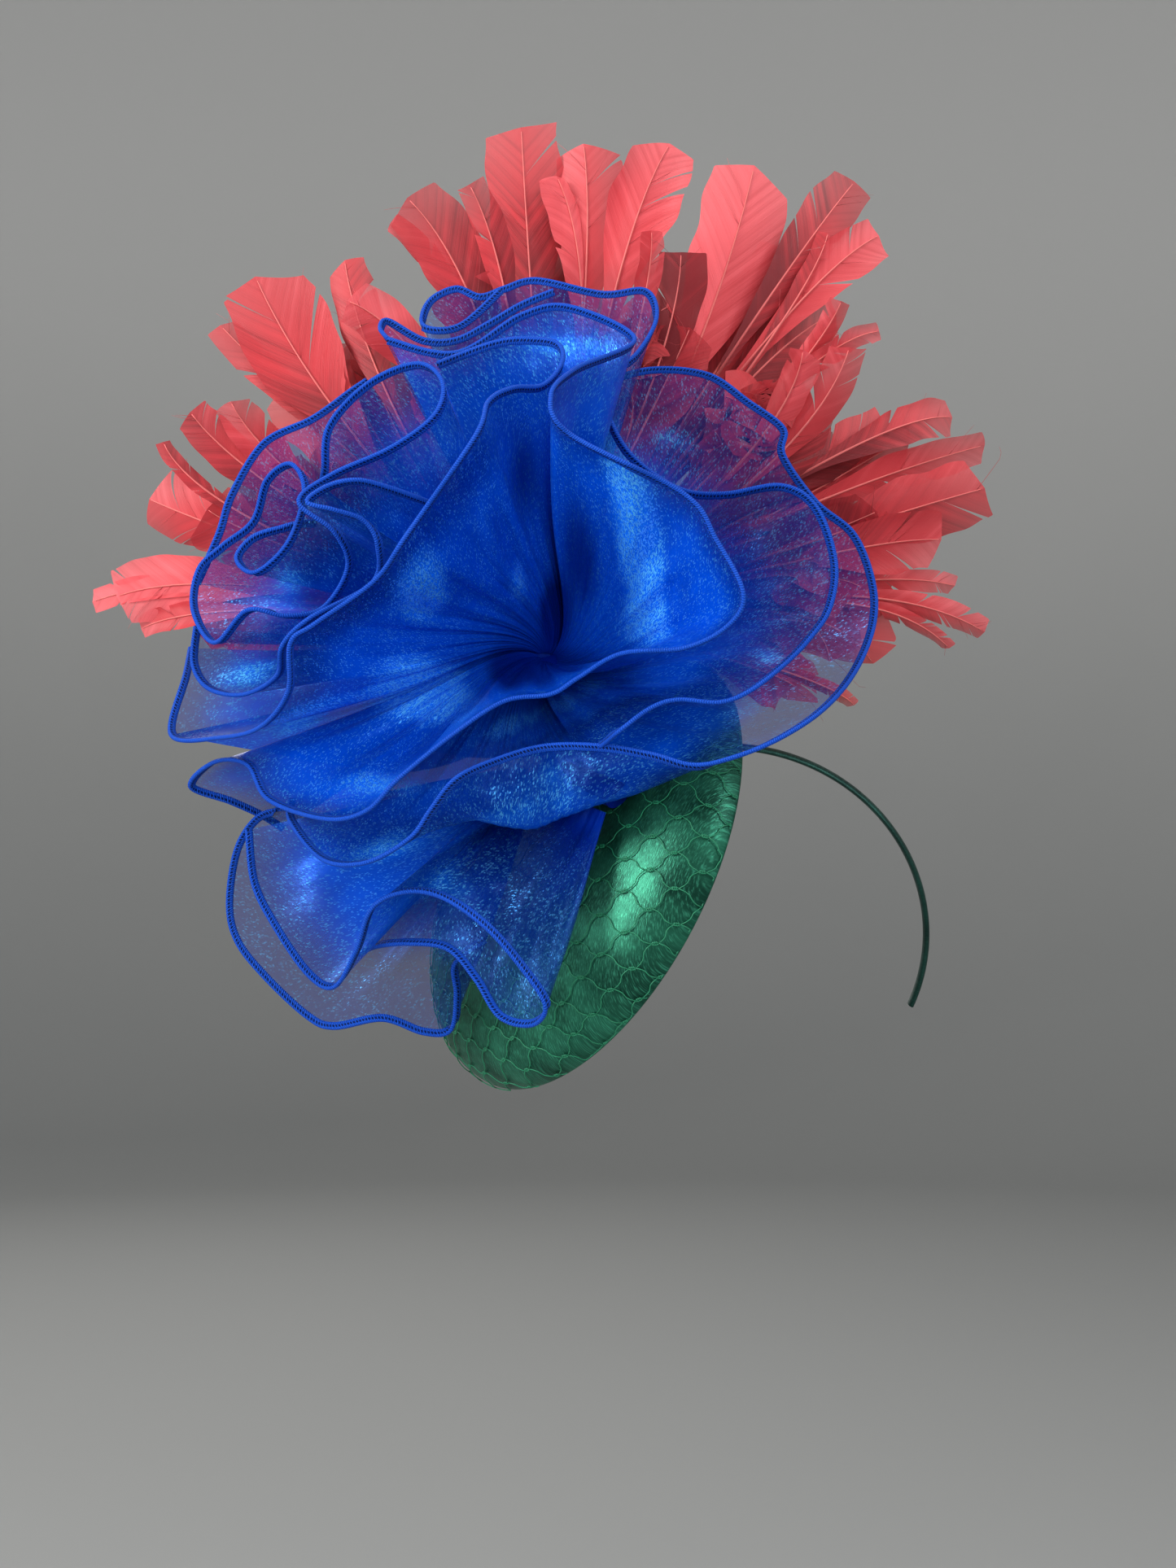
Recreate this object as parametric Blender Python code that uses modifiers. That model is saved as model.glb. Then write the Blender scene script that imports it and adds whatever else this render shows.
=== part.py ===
# Fascinator: a domed satin base under veiling on a thin band, a ruffled organza flower and goose feathers.
# Metres, +Z up. The wearer faces -Y. The origin is where the band's crown rests on the head.

import bpy
import math
from collections import namedtuple
from mathutils import Matrix, Vector

MM = 0.001
GAP = 0.0003                 # between pieces that touch

# Flower folds and feather tips are charted as they show from the front, in millimetres across and up
# from the throat, and then moved forward along the line of sight.
EYE = Vector((-0.0524, -1.0, -0.0116))
THROAT = Vector((-0.0681, 0.0, 0.0345))
THROAT_FORWARD = 28.0        # mm in front of the band

# Base
BASE_CENTRE = Vector((-0.0520, -0.0380, -0.0420))
BASE_NORMAL = Vector((-0.790, -0.445, 0.420)).normalized()
BASE_RADIUS = 0.083
BASE_HEIGHT = 0.029
BASE_WALL = 0.0025
BASE_SHOULDER = 2.6          # how square the dome's shoulder is
BASE_CROWN = 2.2             # how flat its crown is
BASE_SIDES = 28
BASE_BANDS = 6               # facets from the crown to the rim

# Veiling
NET_STRAND = 0.0011
NET_CELL = (0.0275, 0.0200)  # length and width of one mesh
NET_LIFT = 0.0017            # strand's middle above the satin
NET_SAMPLES = 60             # points of the dome's section that the net is laid along
NET_OVERHANG = 0.25          # share of a mesh that may pass the rim
MESH_CORNERS = [(0.5, 0), (0.25, 0.5), (-0.25, 0.5), (-0.5, 0), (-0.25, -0.5), (0.25, -0.5)]

# Headband
BAND_HALF_WIDTH = 0.0755
BAND_HEIGHT = 0.0690
BAND_WIDTH = 0.0060
BAND_THICK = 0.0025
BAND_BELOW = math.radians(22)   # how far each leg runs past the widest place
BAND_SWEEP_BACK = 0.018
BAND_STEPS = 20
STRAP = (0.014, 0.002)       # width and thickness of the strap across the hollow
STRAP_INSET = 0.0006         # from the rim
BOSS_RADIUS = 0.006
BOSS_LENGTH = 0.0078
BOSS_ANGLE = math.radians(148)   # place on the band

# The band's section, as shares of its half thickness and half width.
BAND_SECTION = [(1, 0.6), (0.6, 1), (-0.6, 1), (-1, 0.6), (-1, -0.6), (-0.6, -1), (0.6, -1), (1, -0.6)]

# Flower
CLOTH = 0.0010
KNOT_RADIUS = 14.0           # mm
KNOT_FACETS = (12, 6)        # round it and from pole to pole
STEM_RADIUS = 0.006
STEM_FOOT = 0.75             # the stem's foot, as a share of the knot's distance from the dome's axis
HUB_RADIUS = 0.012
HUB_THICK = 0.008
HUB_UP = 8.0                 # mm above the throat
RINGS = 3                    # cloth sections from the knot to the hem
STEPS_PER_FOLD = 2
BELLY = 12.0                 # mm that the cloth swells forward between knot and hem
BELLY_REACH = 150.0          # mm
SAG_FORWARD = 1.1            # how far sagging cloth swings forward, over its drop

# A fold of a hem. Its cloth may sag below the straight line from the knot.
Fold = namedtuple("Fold", "across up forward sag", defaults=[0])

PETALS = {
    "petal_front": [
        Fold(-58, 118, 23), Fold(-33, 113, 27), Fold(-9, 127, 32), Fold(9, 130, 38), Fold(33, 118, 50),
        Fold(11, 107, 72), Fold(2, 97, 84), Fold(9, 83, 86), Fold(51, 61, 83), Fold(63, 44, 84),
        Fold(73, 24, 84), Fold(67, 12, 84), Fold(51, 4, 84), Fold(28, 2, 84), Fold(9, -8, 82),
        Fold(-15, -15, 80), Fold(-33, -27, 80), Fold(-54, -44, 78), Fold(-66, -56, 74), Fold(-81, -59, 67),
        Fold(-102, -52, 53), Fold(-110, -39, 42), Fold(-122, -38, 34), Fold(-131, -47, 26),
        Fold(-116, -53, 18)],
    "petal_left": [
        Fold(-40, 109, 38), Fold(-18, 117, 45), Fold(-4, 118, 49), Fold(5, 116, 52), Fold(6, 109, 57),
        Fold(-1, 101, 62), Fold(-12, 100, 73), Fold(-21, 95, 80), Fold(-26, 82, 86), Fold(-51, 46, 79),
        Fold(-63, 29, 78), Fold(-85, 13, 84), Fold(-94, 6, 84), Fold(-95, -12, 76), Fold(-105, -25, 67),
        Fold(-120, -29, 56), Fold(-138, -28, 39), Fold(-133, -6, 21), Fold(-131, 4, 8)],
    "petal_top": [
        Fold(-58, 126, 13), Fold(-45, 118, 12), Fold(-33, 118, 12), Fold(-21, 124, 13), Fold(-9, 131, 14),
        Fold(3, 136, 16)],
    "petal_right": [
        Fold(-17, 136, 1), Fold(-32, 123, -1), Fold(-45, 123, -3), Fold(-43, 132, -7), Fold(-33, 137, -8),
        Fold(-24, 134, -8), Fold(-15, 137, -8), Fold(-3, 140, -6), Fold(21, 135, -1), Fold(37, 136, 5),
        Fold(41, 126, 10), Fold(34, 113, 17), Fold(23, 104, 23), Fold(22, 94, 26), Fold(31, 76, 30),
        Fold(49, 63, 36), Fold(66, 61, 42), Fold(87, 64, 47), Fold(100, 56, 51), Fold(107, 36, 55),
        Fold(105, 19, 61), Fold(97, 7, 66), Fold(87, -3, 71), Fold(75, -12, 76), Fold(64, -16, 80),
        Fold(49, -15, 82), Fold(39, -18, 84), Fold(28, -26, 88), Fold(24, -28, 90)],
    "petal_outer": [
        Fold(20, 102, -10), Fold(39, 107, -7), Fold(60, 105, 0), Fold(75, 95, 7), Fold(88, 85, 13),
        Fold(88, 75, 16), Fold(100, 58, 21), Fold(114, 46, 25), Fold(121, 28, 33), Fold(121, 12, 41),
        Fold(114, -5, 56), Fold(102, -19, 72, 3), Fold(85, -30, 82, 8), Fold(67, -37, 85, 14),
        Fold(54, -39, 84, 20), Fold(39, -35, 84, 27), Fold(21, -32, 80, 31), Fold(0, -32, 74, 33),
        Fold(-18, -37, 78, 30), Fold(-33, -44, 83, 24), Fold(-42, -55, 80, 18), Fold(-50, -66, 78, 13),
        Fold(-66, -75, 76, 8), Fold(-82, -74, 66, 4), Fold(-94, -60, 47), Fold(-94, -52, 37)],
    "petal_swirl": [
        Fold(-82, 69, 32), Fold(-80, 86, 36), Fold(-65, 102, 42), Fold(-47, 109, 48), Fold(-38, 102, 54),
        Fold(-41, 90, 57), Fold(-57, 78, 58), Fold(-79, 68, 57), Fold(-91, 58, 63), Fold(-78, 47, 60),
        Fold(-73, 34, 52), Fold(-82, 19, 51), Fold(-96, 16, 56), Fold(-110, 18, 60), Fold(-122, 6, 52),
        Fold(-130, 18, 42), Fold(-128, 33, 34), Fold(-119, 42, 32), Fold(-108, 51, 32), Fold(-103, 66, 35),
        Fold(-94, 72, 40), Fold(-89, 62, 44), Fold(-95, 43, 50), Fold(-107, 32, 50), Fold(-114, 37, 46),
        Fold(-108, 45, 43), Fold(-96, 49, 43)],
    "petal_left_middle": [
        Fold(-43, 58, 65), Fold(-57, 63, 74), Fold(-69, 66, 80), Fold(-80, 64, 82), Fold(-88, 58, 86),
        Fold(-78, 55, 84), Fold(-67, 51, 77), Fold(-62, 42, 72), Fold(-64, 28, 65), Fold(-87, 15, 73),
        Fold(-97, 5, 70), Fold(-99, -6, 60), Fold(-111, -13, 50), Fold(-124, -11, 43), Fold(-130, -2, 36),
        Fold(-129, 12, 31)],
    "petal_left_outer": [
        Fold(-66, 103, 7), Fold(-72, 99, 8), Fold(-86, 89, 11), Fold(-104, 80, 13), Fold(-116, 61, 15),
        Fold(-121, 46, 17), Fold(-129, 28, 19)],
}

# The two lower ruffles hang from a rolled seam that lies on the veiled base.
SEAM = [Fold(2, -40, 60), Fold(14, -45, 84), Fold(26, -50, 102)]
SEAM_RADIUS = 5.0            # mm
SEAM_STEPS = 3
SEAM_FROM = -60              # mm across: folds left of it hang from the seam's left end

# Each ruffle: the share of the seam that it is sewn along, and its folds.
RUFFLES = {
    "ruffle_back": (0.0, [
        Fold(-95, -55, 42), Fold(-106, -58, 40), Fold(-114, -70, 38), Fold(-117, -90, 38),
        Fold(-114, -104, 40), Fold(-104, -117, 44), Fold(-88, -132, 48), Fold(-78, -136, 52),
        Fold(-60, -133, 58), Fold(-45, -138, 62), Fold(-35, -137, 64), Fold(-33, -124, 66),
        Fold(-34, -114, 68)]),
    "ruffle_front": (1.0, [
        Fold(-110, -63, 63), Fold(-108, -82, 65), Fold(-101, -97, 68), Fold(-88, -116, 73),
        Fold(-78, -121, 78), Fold(-70, -108, 84), Fold(-64, -92, 90), Fold(-52, -86, 95),
        Fold(-38, -88, 99), Fold(-22, -99, 103), Fold(-8, -115, 107), Fold(0, -128, 108),
        Fold(-5, -135, 103), Fold(-17, -132, 97), Fold(-26, -118, 91), Fold(-36, -107, 85),
        Fold(-50, -105, 80)]),
}

Feather = namedtuple("Feather", "middle_across middle_up tip_across tip_up width")

# Each spray: how far forward it lies, in mm, and its feathers from back to front.
SPRAYS = {
    "feathers_left": (2, [
        Feather(-129, 36, -167, 21, 9), Feather(-123, 36, -158, 23, 23),
        Feather(-122, 48, -146, 59, 23), Feather(-126, 24, -149, 11, 9)]),
    "feathers_left_upper": (9, [
        Feather(-129, 51, -141, 80, 6), Feather(-111, 63, -131, 91, 15), Feather(-102, 66, -116, 95, 15)]),
    "feathers_upper_left": (2, [
        Feather(-84, 86, -120, 123, 12), Feather(-68, 102, -74, 147, 15), Feather(-83, 87, -107, 141, 32),
        Feather(-81, 86, -84, 107, 18)]),
    "feathers_top_left": (10, [
        Feather(-39, 119, -73, 132, 18), Feather(-20, 137, -57, 161, 8), Feather(-17, 137, -51, 170, 24),
        Feather(-9, 141, -28, 175, 12)]),
    "feathers_top": (2, [
        Feather(-6, 140, -9, 196, 27), Feather(20, 144, 14, 190, 24), Feather(24, 136, 4, 178, 14)]),
    "feathers_top_middle": (10, [
        Feather(50, 113, 50, 150, 18), Feather(23, 153, 46, 190, 24), Feather(41, 131, 39, 158, 9)]),
    "feathers_top_right": (2, [
        Feather(87, 144, 114, 176, 18), Feather(62, 113, 77, 182, 30), Feather(95, 144, 123, 156, 17),
        Feather(99, 132, 104, 157, 8)]),
    "feathers_right_upper": (10, [
        Feather(102, 111, 109, 132, 8), Feather(96, 119, 123, 121, 9), Feather(101, 75, 112, 115, 14),
        Feather(92, 81, 95, 114, 12)]),
    "feathers_right": (2, [
        Feather(94, 68, 125, 86, 17), Feather(125, 93, 150, 89, 14), Feather(104, 64, 162, 79, 14)]),
    "feathers_right_middle": (10, [
        Feather(113, 50, 162, 63, 24), Feather(114, 45, 146, 44, 21)]),
    "feathers_right_lower": (2, [
        Feather(120, 36, 151, 27, 8), Feather(120, 36, 162, 10, 9), Feather(120, 35, 149, 4, 6),
        Feather(101, -4, 114, -17, 5)]),
}
FEATHER_LEAN = (-18, 10)     # mm that the tips of a back and of a front spray lean forward
FEATHER_WALL = 0.0010
FEATHER_STEP = 1.7           # mm between the feathers of a spray, front to back
FEATHER_CUP = 0.10           # depth of a vane's hollow over its width
QUILL_WIDTH = 1.6            # mm
QUILL_SUNK = 4.2             # mm of each quill inside its stub
STUB_RADIUS = 0.0018
STUB_LENGTH = 0.014
STUB_LAYER = 2.1             # mm that each stub lies behind or before the hub's middle

# Place along a feather, and its width there as a share of the full width.
VANE = [(0.0, 0.0), (0.45, 0.0), (0.66, 0.90), (1.0, 0.90)]

COLOURS = {
    "satin": ((0.010, 0.235, 0.100, 1), 0.32),
    "veiling": ((0.045, 0.480, 0.190, 1), 0.55),
    "band_satin": ((0.015, 0.060, 0.050, 1), 0.40),
    "organza": ((0.004, 0.060, 0.480, 1), 0.35),
    "feather": ((0.900, 0.130, 0.110, 1), 0.60),
}

NAME = "fascinator_hat"


def clear_scene():
    for item in list(bpy.data.objects):
        bpy.data.objects.remove(item, do_unlink=True)


def collection(name):
    group = bpy.data.collections.new(name)
    bpy.context.scene.collection.children.link(group)
    return group


def material(name):
    colour, roughness = COLOURS[name]
    made = bpy.data.materials.new(name)
    made.use_nodes = True
    shader = made.node_tree.nodes["Principled BSDF"]
    shader.inputs["Base Color"].default_value = colour
    shader.inputs["Roughness"].default_value = roughness
    shader.inputs["Metallic"].default_value = 0.0
    return made


def seen(across, up, forward):
    plane = THROAT + Vector((across * MM, 0, up * MM))
    return plane + (EYE - plane) * (forward * MM / -EYE.y)


def spline(rows, steps):
    """Points of a smooth curve through the rows."""
    points = []
    last = len(rows) - 1
    for i in range(last):
        before, start, end, after = (Vector(rows[j]) for j in (max(i - 1, 0), i, i + 1, min(i + 2, last)))
        for step in range(steps):
            t = step / steps
            points.append(0.5 * ((2 * start) + (end - before) * t
                                 + (2 * before - 5 * start + 4 * end - after) * t ** 2
                                 + (3 * start - before - 3 * end + after) * t ** 3))
    points.append(Vector(rows[last]))
    return points


def new_object(name, mesh, group, finish):
    item = bpy.data.objects.new(name, mesh)
    group.objects.link(item)
    item.data.materials.append(finish)
    return item


def adopt(item, name, group, finish):
    """Name a new primitive and move it to its collection."""
    item.name = name
    item.data.name = name
    for owner in list(item.users_collection):
        owner.objects.unlink(item)
    group.objects.link(item)
    item.data.materials.append(finish)
    return item


def as_cutter(item):
    item.hide_render = True
    item.display_type = "WIRE"
    return item


def cut(item, cutter, operation):
    change = item.modifiers.new(operation.lower(), "BOOLEAN")
    change.operation = operation
    change.object = as_cutter(cutter)


def grid_mesh(name, columns):
    """A sheet whose columns are lists of points of one length."""
    rows = len(columns[0])
    points = [point for column in columns for point in column]
    faces = []
    for i in range(len(columns) - 1):
        for j in range(rows - 1):
            first = i * rows + j
            faces.append((first, first + 1, first + rows + 1, first + rows))
    mesh = bpy.data.meshes.new(name)
    mesh.from_pydata(points, [], faces)
    mesh.shade_smooth()
    return mesh


def solidify(item, thickness):
    wall = item.modifiers.new("wall", "SOLIDIFY")
    wall.thickness = thickness
    wall.offset = 0.0


def base_profile(radius, height, count=BASE_BANDS):
    """Points of the dome's section from its crown to its rim."""
    points = [Vector((0, 0, height))]
    for i in range(1, count):
        share = math.sin(math.pi / 2 * i / count) ** (2 / BASE_SHOULDER)
        points.append(Vector((radius * share, 0, height * (1 - share ** BASE_SHOULDER) ** (1 / BASE_CROWN))))
    return points + [Vector((radius, 0, 0))]


def base_frame():
    turn = BASE_NORMAL.to_track_quat("Z", "Y").to_matrix().to_4x4()
    return Matrix.Translation(BASE_CENTRE) @ turn


def turned(name, section, group):
    """A section turned about the base's axis."""
    mesh = bpy.data.meshes.new(name)
    mesh.from_pydata(section, [(i, i + 1) for i in range(len(section) - 1)], [])
    item = bpy.data.objects.new(name, mesh)
    group.objects.link(item)
    item.matrix_world = base_frame()
    turn = item.modifiers.new("turn", "SCREW")
    turn.steps = BASE_SIDES
    turn.render_steps = BASE_SIDES
    turn.use_merge_vertices = True
    turn.merge_threshold = 0.0001
    turn.use_smooth_shade = True
    return item


def build_base(group, finish):
    outer = base_profile(BASE_RADIUS, BASE_HEIGHT)
    inner = base_profile(BASE_RADIUS - BASE_WALL, BASE_HEIGHT - BASE_WALL)
    base = turned("percher_base", outer + inner[::-1], group)
    base.data.materials.append(finish)


def filled_dome(name, outside, guides):
    """The dome filled to its rim, this much larger all round, as a cutter."""
    section = base_profile(BASE_RADIUS + outside, BASE_HEIGHT + outside) + [Vector((0, 0, 0))]
    return turned(name, section, guides)


def petal_column(root, rim, sag, start, rings):
    """A line of cloth from its root to its hem, swelling forward and sagging in between."""
    column = []
    for j in range(rings + 1):
        part = start + (1 - start) * j / rings
        place = root + (rim - root) * part
        width = math.hypot(place.x - root.x, place.y - root.y)
        swell = max(width - KNOT_RADIUS, 0) / (BELLY_REACH - KNOT_RADIUS)
        hang = sag * math.sin(math.pi * part)
        place.y -= hang
        place.z += BELLY * math.sin(math.pi * min(swell, 1)) + SAG_FORWARD * hang
        column.append(seen(*place))
    return column


def build_petals(group, finish):
    throat = Vector((0, 0, THROAT_FORWARD))
    for name, folds in PETALS.items():
        columns = []
        for across, up, forward, sag in spline(folds, STEPS_PER_FOLD):
            rim = throat + Vector((across, up, forward))
            columns.append(petal_column(throat, rim, sag, KNOT_RADIUS / (rim - throat).length, RINGS))
        solidify(new_object(name, grid_mesh(name, columns), group, finish), CLOTH)


def seam_point(share):
    line = spline([fold[:3] for fold in SEAM], SEAM_STEPS)
    place = share * (len(line) - 1)
    index = min(int(place), len(line) - 2)
    return line[index].lerp(line[index + 1], place - index)


def build_ruffles(group, finish):
    for name, (sewn, folds) in RUFFLES.items():
        columns = []
        for across, up, forward, sag in spline(folds, STEPS_PER_FOLD):
            root = seam_point(sewn * (1 - min(max(across / SEAM_FROM, 0), 1)))
            rim = Vector((across, up, forward))
            start = (SEAM_RADIUS + (CLOTH + GAP) / MM) / (rim - root).length
            columns.append(petal_column(root, rim, sag, start, RINGS))
        solidify(new_object(name, grid_mesh(name, columns), group, finish), CLOTH)


def build_seam(group, finish):
    """A cord of rolled cloth along the base."""
    curve = bpy.data.curves.new("ruffle_seam", "CURVE")
    curve.dimensions = "3D"
    curve.bevel_depth = SEAM_RADIUS * MM
    curve.bevel_resolution = 2
    curve.use_fill_caps = True
    count = (len(SEAM) - 1) * SEAM_STEPS
    line = curve.splines.new("POLY")
    line.points.add(count)
    for step, point in enumerate(line.points):
        point.co = (*seen(*seam_point(step / count)), 1)
    new_object("ruffle_seam", curve, group, finish)


def arc_point(profile, length):
    """The place on the dome's section at this length from the crown."""
    for start, end in zip(profile, profile[1:]):
        part = (end - start).length
        if length <= part:
            return start.lerp(end, length / part)
        length -= part
    return profile[-1].copy()


def hexagon_cells(length, width, limit):
    """Corners of a honeycomb of long meshes, kept inside a circle."""
    across = int(limit / (0.75 * length)) + 1
    rows = int(limit / width) + 1
    for i in range(-across, across + 1):
        for j in range(-rows, rows + 1):
            x = i * 0.75 * length
            y = (j + 0.5 * (i % 2)) * width
            if math.hypot(x, y) > limit + NET_OVERHANG * width:
                continue
            yield [(x + dx * length, y + dy * width) for dx, dy in MESH_CORNERS]


def build_net(group, finish):
    profile = base_profile(BASE_RADIUS + NET_LIFT, BASE_HEIGHT + NET_LIFT, NET_SAMPLES)
    limit = sum((b - a).length for a, b in zip(profile, profile[1:])) - NET_STRAND
    numbers = {}
    points = []
    faces = []
    for cell in hexagon_cells(*NET_CELL, limit):
        face = []
        for x, y in cell:
            key = (round(x * 1e5), round(y * 1e5))
            if key not in numbers:
                numbers[key] = len(points)
                reach = min(math.hypot(x, y), limit)
                place = arc_point(profile, reach)
                bearing = math.atan2(y, x)
                points.append((place.x * math.cos(bearing), place.x * math.sin(bearing), place.z))
            face.append(numbers[key])
        faces.append(face)
    mesh = bpy.data.meshes.new("veil_net")
    mesh.from_pydata(points, [], faces)
    net = new_object("veil_net", mesh, group, finish)
    net.matrix_world = base_frame()
    strands = net.modifiers.new("strands", "WIREFRAME")
    strands.thickness = NET_STRAND
    strands.use_boundary = True
    strands.use_even_offset = False


def band_point(angle):
    return Vector((BAND_HALF_WIDTH * math.cos(angle), BAND_SWEEP_BACK * (1 - math.sin(angle)),
                   BAND_THICK / 2 + BAND_HEIGHT * (math.sin(angle) - 1)))


def band_outward(angle):
    return Vector((math.cos(angle) / BAND_HALF_WIDTH, 0, math.sin(angle) / BAND_HEIGHT)).normalized()


def build_band(group, finish):
    columns = []
    span = math.pi + 2 * BAND_BELOW
    for step in range(BAND_STEPS + 1):
        angle = -BAND_BELOW + span * step / BAND_STEPS
        centre = band_point(angle)
        out = band_outward(angle)
        columns.append([centre + out * x * BAND_THICK / 2 + Vector((0, y * BAND_WIDTH / 2, 0))
                        for x, y in BAND_SECTION])
    points = [point for column in columns for point in column]
    count = len(BAND_SECTION)
    faces = [tuple(range(count - 1, -1, -1)), tuple(range(len(points) - count, len(points)))]
    for i in range(BAND_STEPS):
        for j in range(count):
            a, b = i * count + j, i * count + (j + 1) % count
            faces.append((a, b, b + count, a + count))
    mesh = bpy.data.meshes.new("headband")
    mesh.from_pydata(points, [], faces)
    new_object("headband", mesh, group, finish)


def cylinder(name, radius, start, end, group, finish, sides=12):
    axis = end - start
    bpy.ops.mesh.primitive_cylinder_add(vertices=sides, radius=radius, depth=axis.length)
    item = adopt(bpy.context.object, name, group, finish)
    along = axis.to_track_quat("Z", "Y").to_matrix().to_4x4()
    item.matrix_world = Matrix.Translation((start + end) / 2) @ along
    return item


def build_strap(group, guides, finish):
    """A strap across the hollow with a boss that the band is sewn to."""
    frame = base_frame()
    seat = frame.inverted() @ band_point(BOSS_ANGLE)
    width, thick = STRAP
    bpy.ops.mesh.primitive_cube_add(size=1)
    strap = adopt(bpy.context.object, "band_strap", group, finish)
    strap.data.transform(Matrix.Diagonal((width, 2 * BASE_RADIUS, thick, 1)))
    place = Matrix.Translation((seat.x, seat.y, STRAP_INSET + thick / 2))
    strap.matrix_world = frame @ place @ Matrix.Rotation(math.atan2(seat.y, seat.x), 4, "Z")
    cut(strap, filled_dome("hollow", -BASE_WALL - GAP, guides), "INTERSECT")
    out = band_outward(BOSS_ANGLE)
    start = band_point(BOSS_ANGLE) + out * (BAND_THICK / 2 + GAP)
    cut(strap, cylinder("boss", BOSS_RADIUS, start, start + out * BOSS_LENGTH, guides, finish), "UNION")


def build_knot(group, guides, finish):
    """The gathered heart of the flower, with a stem down to the veiled base."""
    centre = seen(0, 0, THROAT_FORWARD)
    nearness = (centre.y - EYE.y) / -EYE.y
    around, rows = KNOT_FACETS
    bpy.ops.mesh.primitive_uv_sphere_add(segments=around, ring_count=rows, location=centre,
                                         radius=KNOT_RADIUS * nearness * MM - GAP)
    knot = adopt(bpy.context.object, "flower_knot", group, finish)
    inward = base_frame().inverted() @ centre
    foot = base_frame() @ Vector((inward.x * STEM_FOOT, inward.y * STEM_FOOT, STEM_RADIUS))
    cut(knot, cylinder("flower_stem", STEM_RADIUS, centre, foot, guides, finish), "UNION")
    cut(knot, filled_dome("flower_seat", NET_LIFT + NET_STRAND + GAP, guides), "DIFFERENCE")


def build_hub(group, finish):
    back = seen(0, HUB_UP, THROAT_FORWARD - KNOT_RADIUS) + Vector((0, HUB_THICK, 0))
    cylinder("feather_hub", HUB_RADIUS, back, back - Vector((0, HUB_THICK, 0)), group, finish, 20)


def blade_mesh(name, root, feather, forward, lean):
    """A cupped vane from its quill to its cut tip."""
    middle = Vector((feather.middle_across, feather.middle_up, forward))
    tip = Vector((feather.tip_across, feather.tip_up, forward + lean))
    columns = []
    for part, share in VANE:
        spine = root * (1 - part) ** 2 + middle * 2 * part * (1 - part) + tip * part ** 2
        along = (middle - root) * (1 - part) + (tip - middle) * part
        side = Vector((-along.y, along.x, 0)).normalized()
        half = max(feather.width * share, QUILL_WIDTH) / 2
        hollow = Vector((0, 0, half * 2 * FEATHER_CUP))
        columns.append([seen(*(spine - side * half)), seen(*(spine - hollow)), seen(*(spine + side * half))])
    return grid_mesh(name, columns)


def build_spray(name, forward, feathers, group, guides, finish):
    hub = Vector((0, HUB_UP, THROAT_FORWARD - KNOT_RADIUS - HUB_THICK / MM / 2))
    mean = sum((Vector((f.middle_across, f.middle_up, hub.z)) for f in feathers), Vector()) / len(feathers)
    out = (mean - hub).normalized()
    in_front = forward > hub.z / 2
    layer = Vector((0, 0, STUB_LAYER if in_front else -STUB_LAYER))
    start = hub + layer + out * (HUB_RADIUS + 2 * GAP) / MM
    end = start + out * STUB_LENGTH / MM
    spray = cylinder(name, STUB_RADIUS, seen(*start), seen(*end), group, finish, 8)
    root = end - out * QUILL_SUNK
    for number, feather in enumerate(feathers):
        label = f"{name}_{number + 1}"
        depth = forward + number * FEATHER_STEP
        blade = bpy.data.objects.new(label, blade_mesh(label, root, feather, depth, FEATHER_LEAN[in_front]))
        guides.objects.link(blade)
        solidify(blade, FEATHER_WALL)
        cut(spray, blade, "UNION")


def main():
    clear_scene()
    parts = collection(NAME)
    guides = collection("cutters")
    finishes = {name: material(name) for name in COLOURS}
    build_base(parts, finishes["satin"])
    build_net(parts, finishes["veiling"])
    build_band(parts, finishes["band_satin"])
    build_strap(parts, guides, finishes["band_satin"])
    build_knot(parts, guides, finishes["organza"])
    build_seam(parts, finishes["organza"])
    build_hub(parts, finishes["organza"])
    build_petals(parts, finishes["organza"])
    build_ruffles(parts, finishes["organza"])
    for name, (forward, feathers) in SPRAYS.items():
        build_spray(name, forward, feathers, parts, guides, finishes["feather"])


main()
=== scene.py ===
# Looks of a worn fascinator: satin base under veiling, thin band, organza flower and cut goose feathers.
import math
import random

import bpy
import numpy as np
from mathutils import Matrix, Vector


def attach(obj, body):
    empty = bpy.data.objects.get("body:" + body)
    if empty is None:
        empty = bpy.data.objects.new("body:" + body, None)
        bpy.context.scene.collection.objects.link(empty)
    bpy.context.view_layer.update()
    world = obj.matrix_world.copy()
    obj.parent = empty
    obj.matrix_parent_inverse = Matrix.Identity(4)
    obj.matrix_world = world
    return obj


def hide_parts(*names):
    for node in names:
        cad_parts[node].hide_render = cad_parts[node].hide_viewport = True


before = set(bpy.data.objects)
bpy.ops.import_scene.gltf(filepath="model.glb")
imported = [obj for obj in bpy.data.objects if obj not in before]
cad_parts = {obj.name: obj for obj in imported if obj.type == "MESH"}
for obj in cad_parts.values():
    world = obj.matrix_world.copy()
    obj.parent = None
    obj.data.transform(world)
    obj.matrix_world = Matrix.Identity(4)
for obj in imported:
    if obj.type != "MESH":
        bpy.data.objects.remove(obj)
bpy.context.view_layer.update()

bpy.ops.object.select_all(action="DESELECT")

mm = 0.001
turn = 2 * math.pi
scene = bpy.context.scene

# the chart: millimetres across and up from the flower's throat, as seen from the front, and forward along
# the line of sight
chart = dict(
    eye=np.array([-0.0524, -1.0, -0.0116]), throat=np.array([-0.0681, 0.0, 0.0345]),
    middle=np.array([0, 0, 28.0]))


def seen(rows):
    rows = np.asarray(rows, float)
    plane = chart["throat"] + np.stack([rows[..., 0], 0 * rows[..., 0], rows[..., 1]], -1) * mm
    return plane + (chart["eye"] - plane) * rows[..., 2:3] * mm


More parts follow.
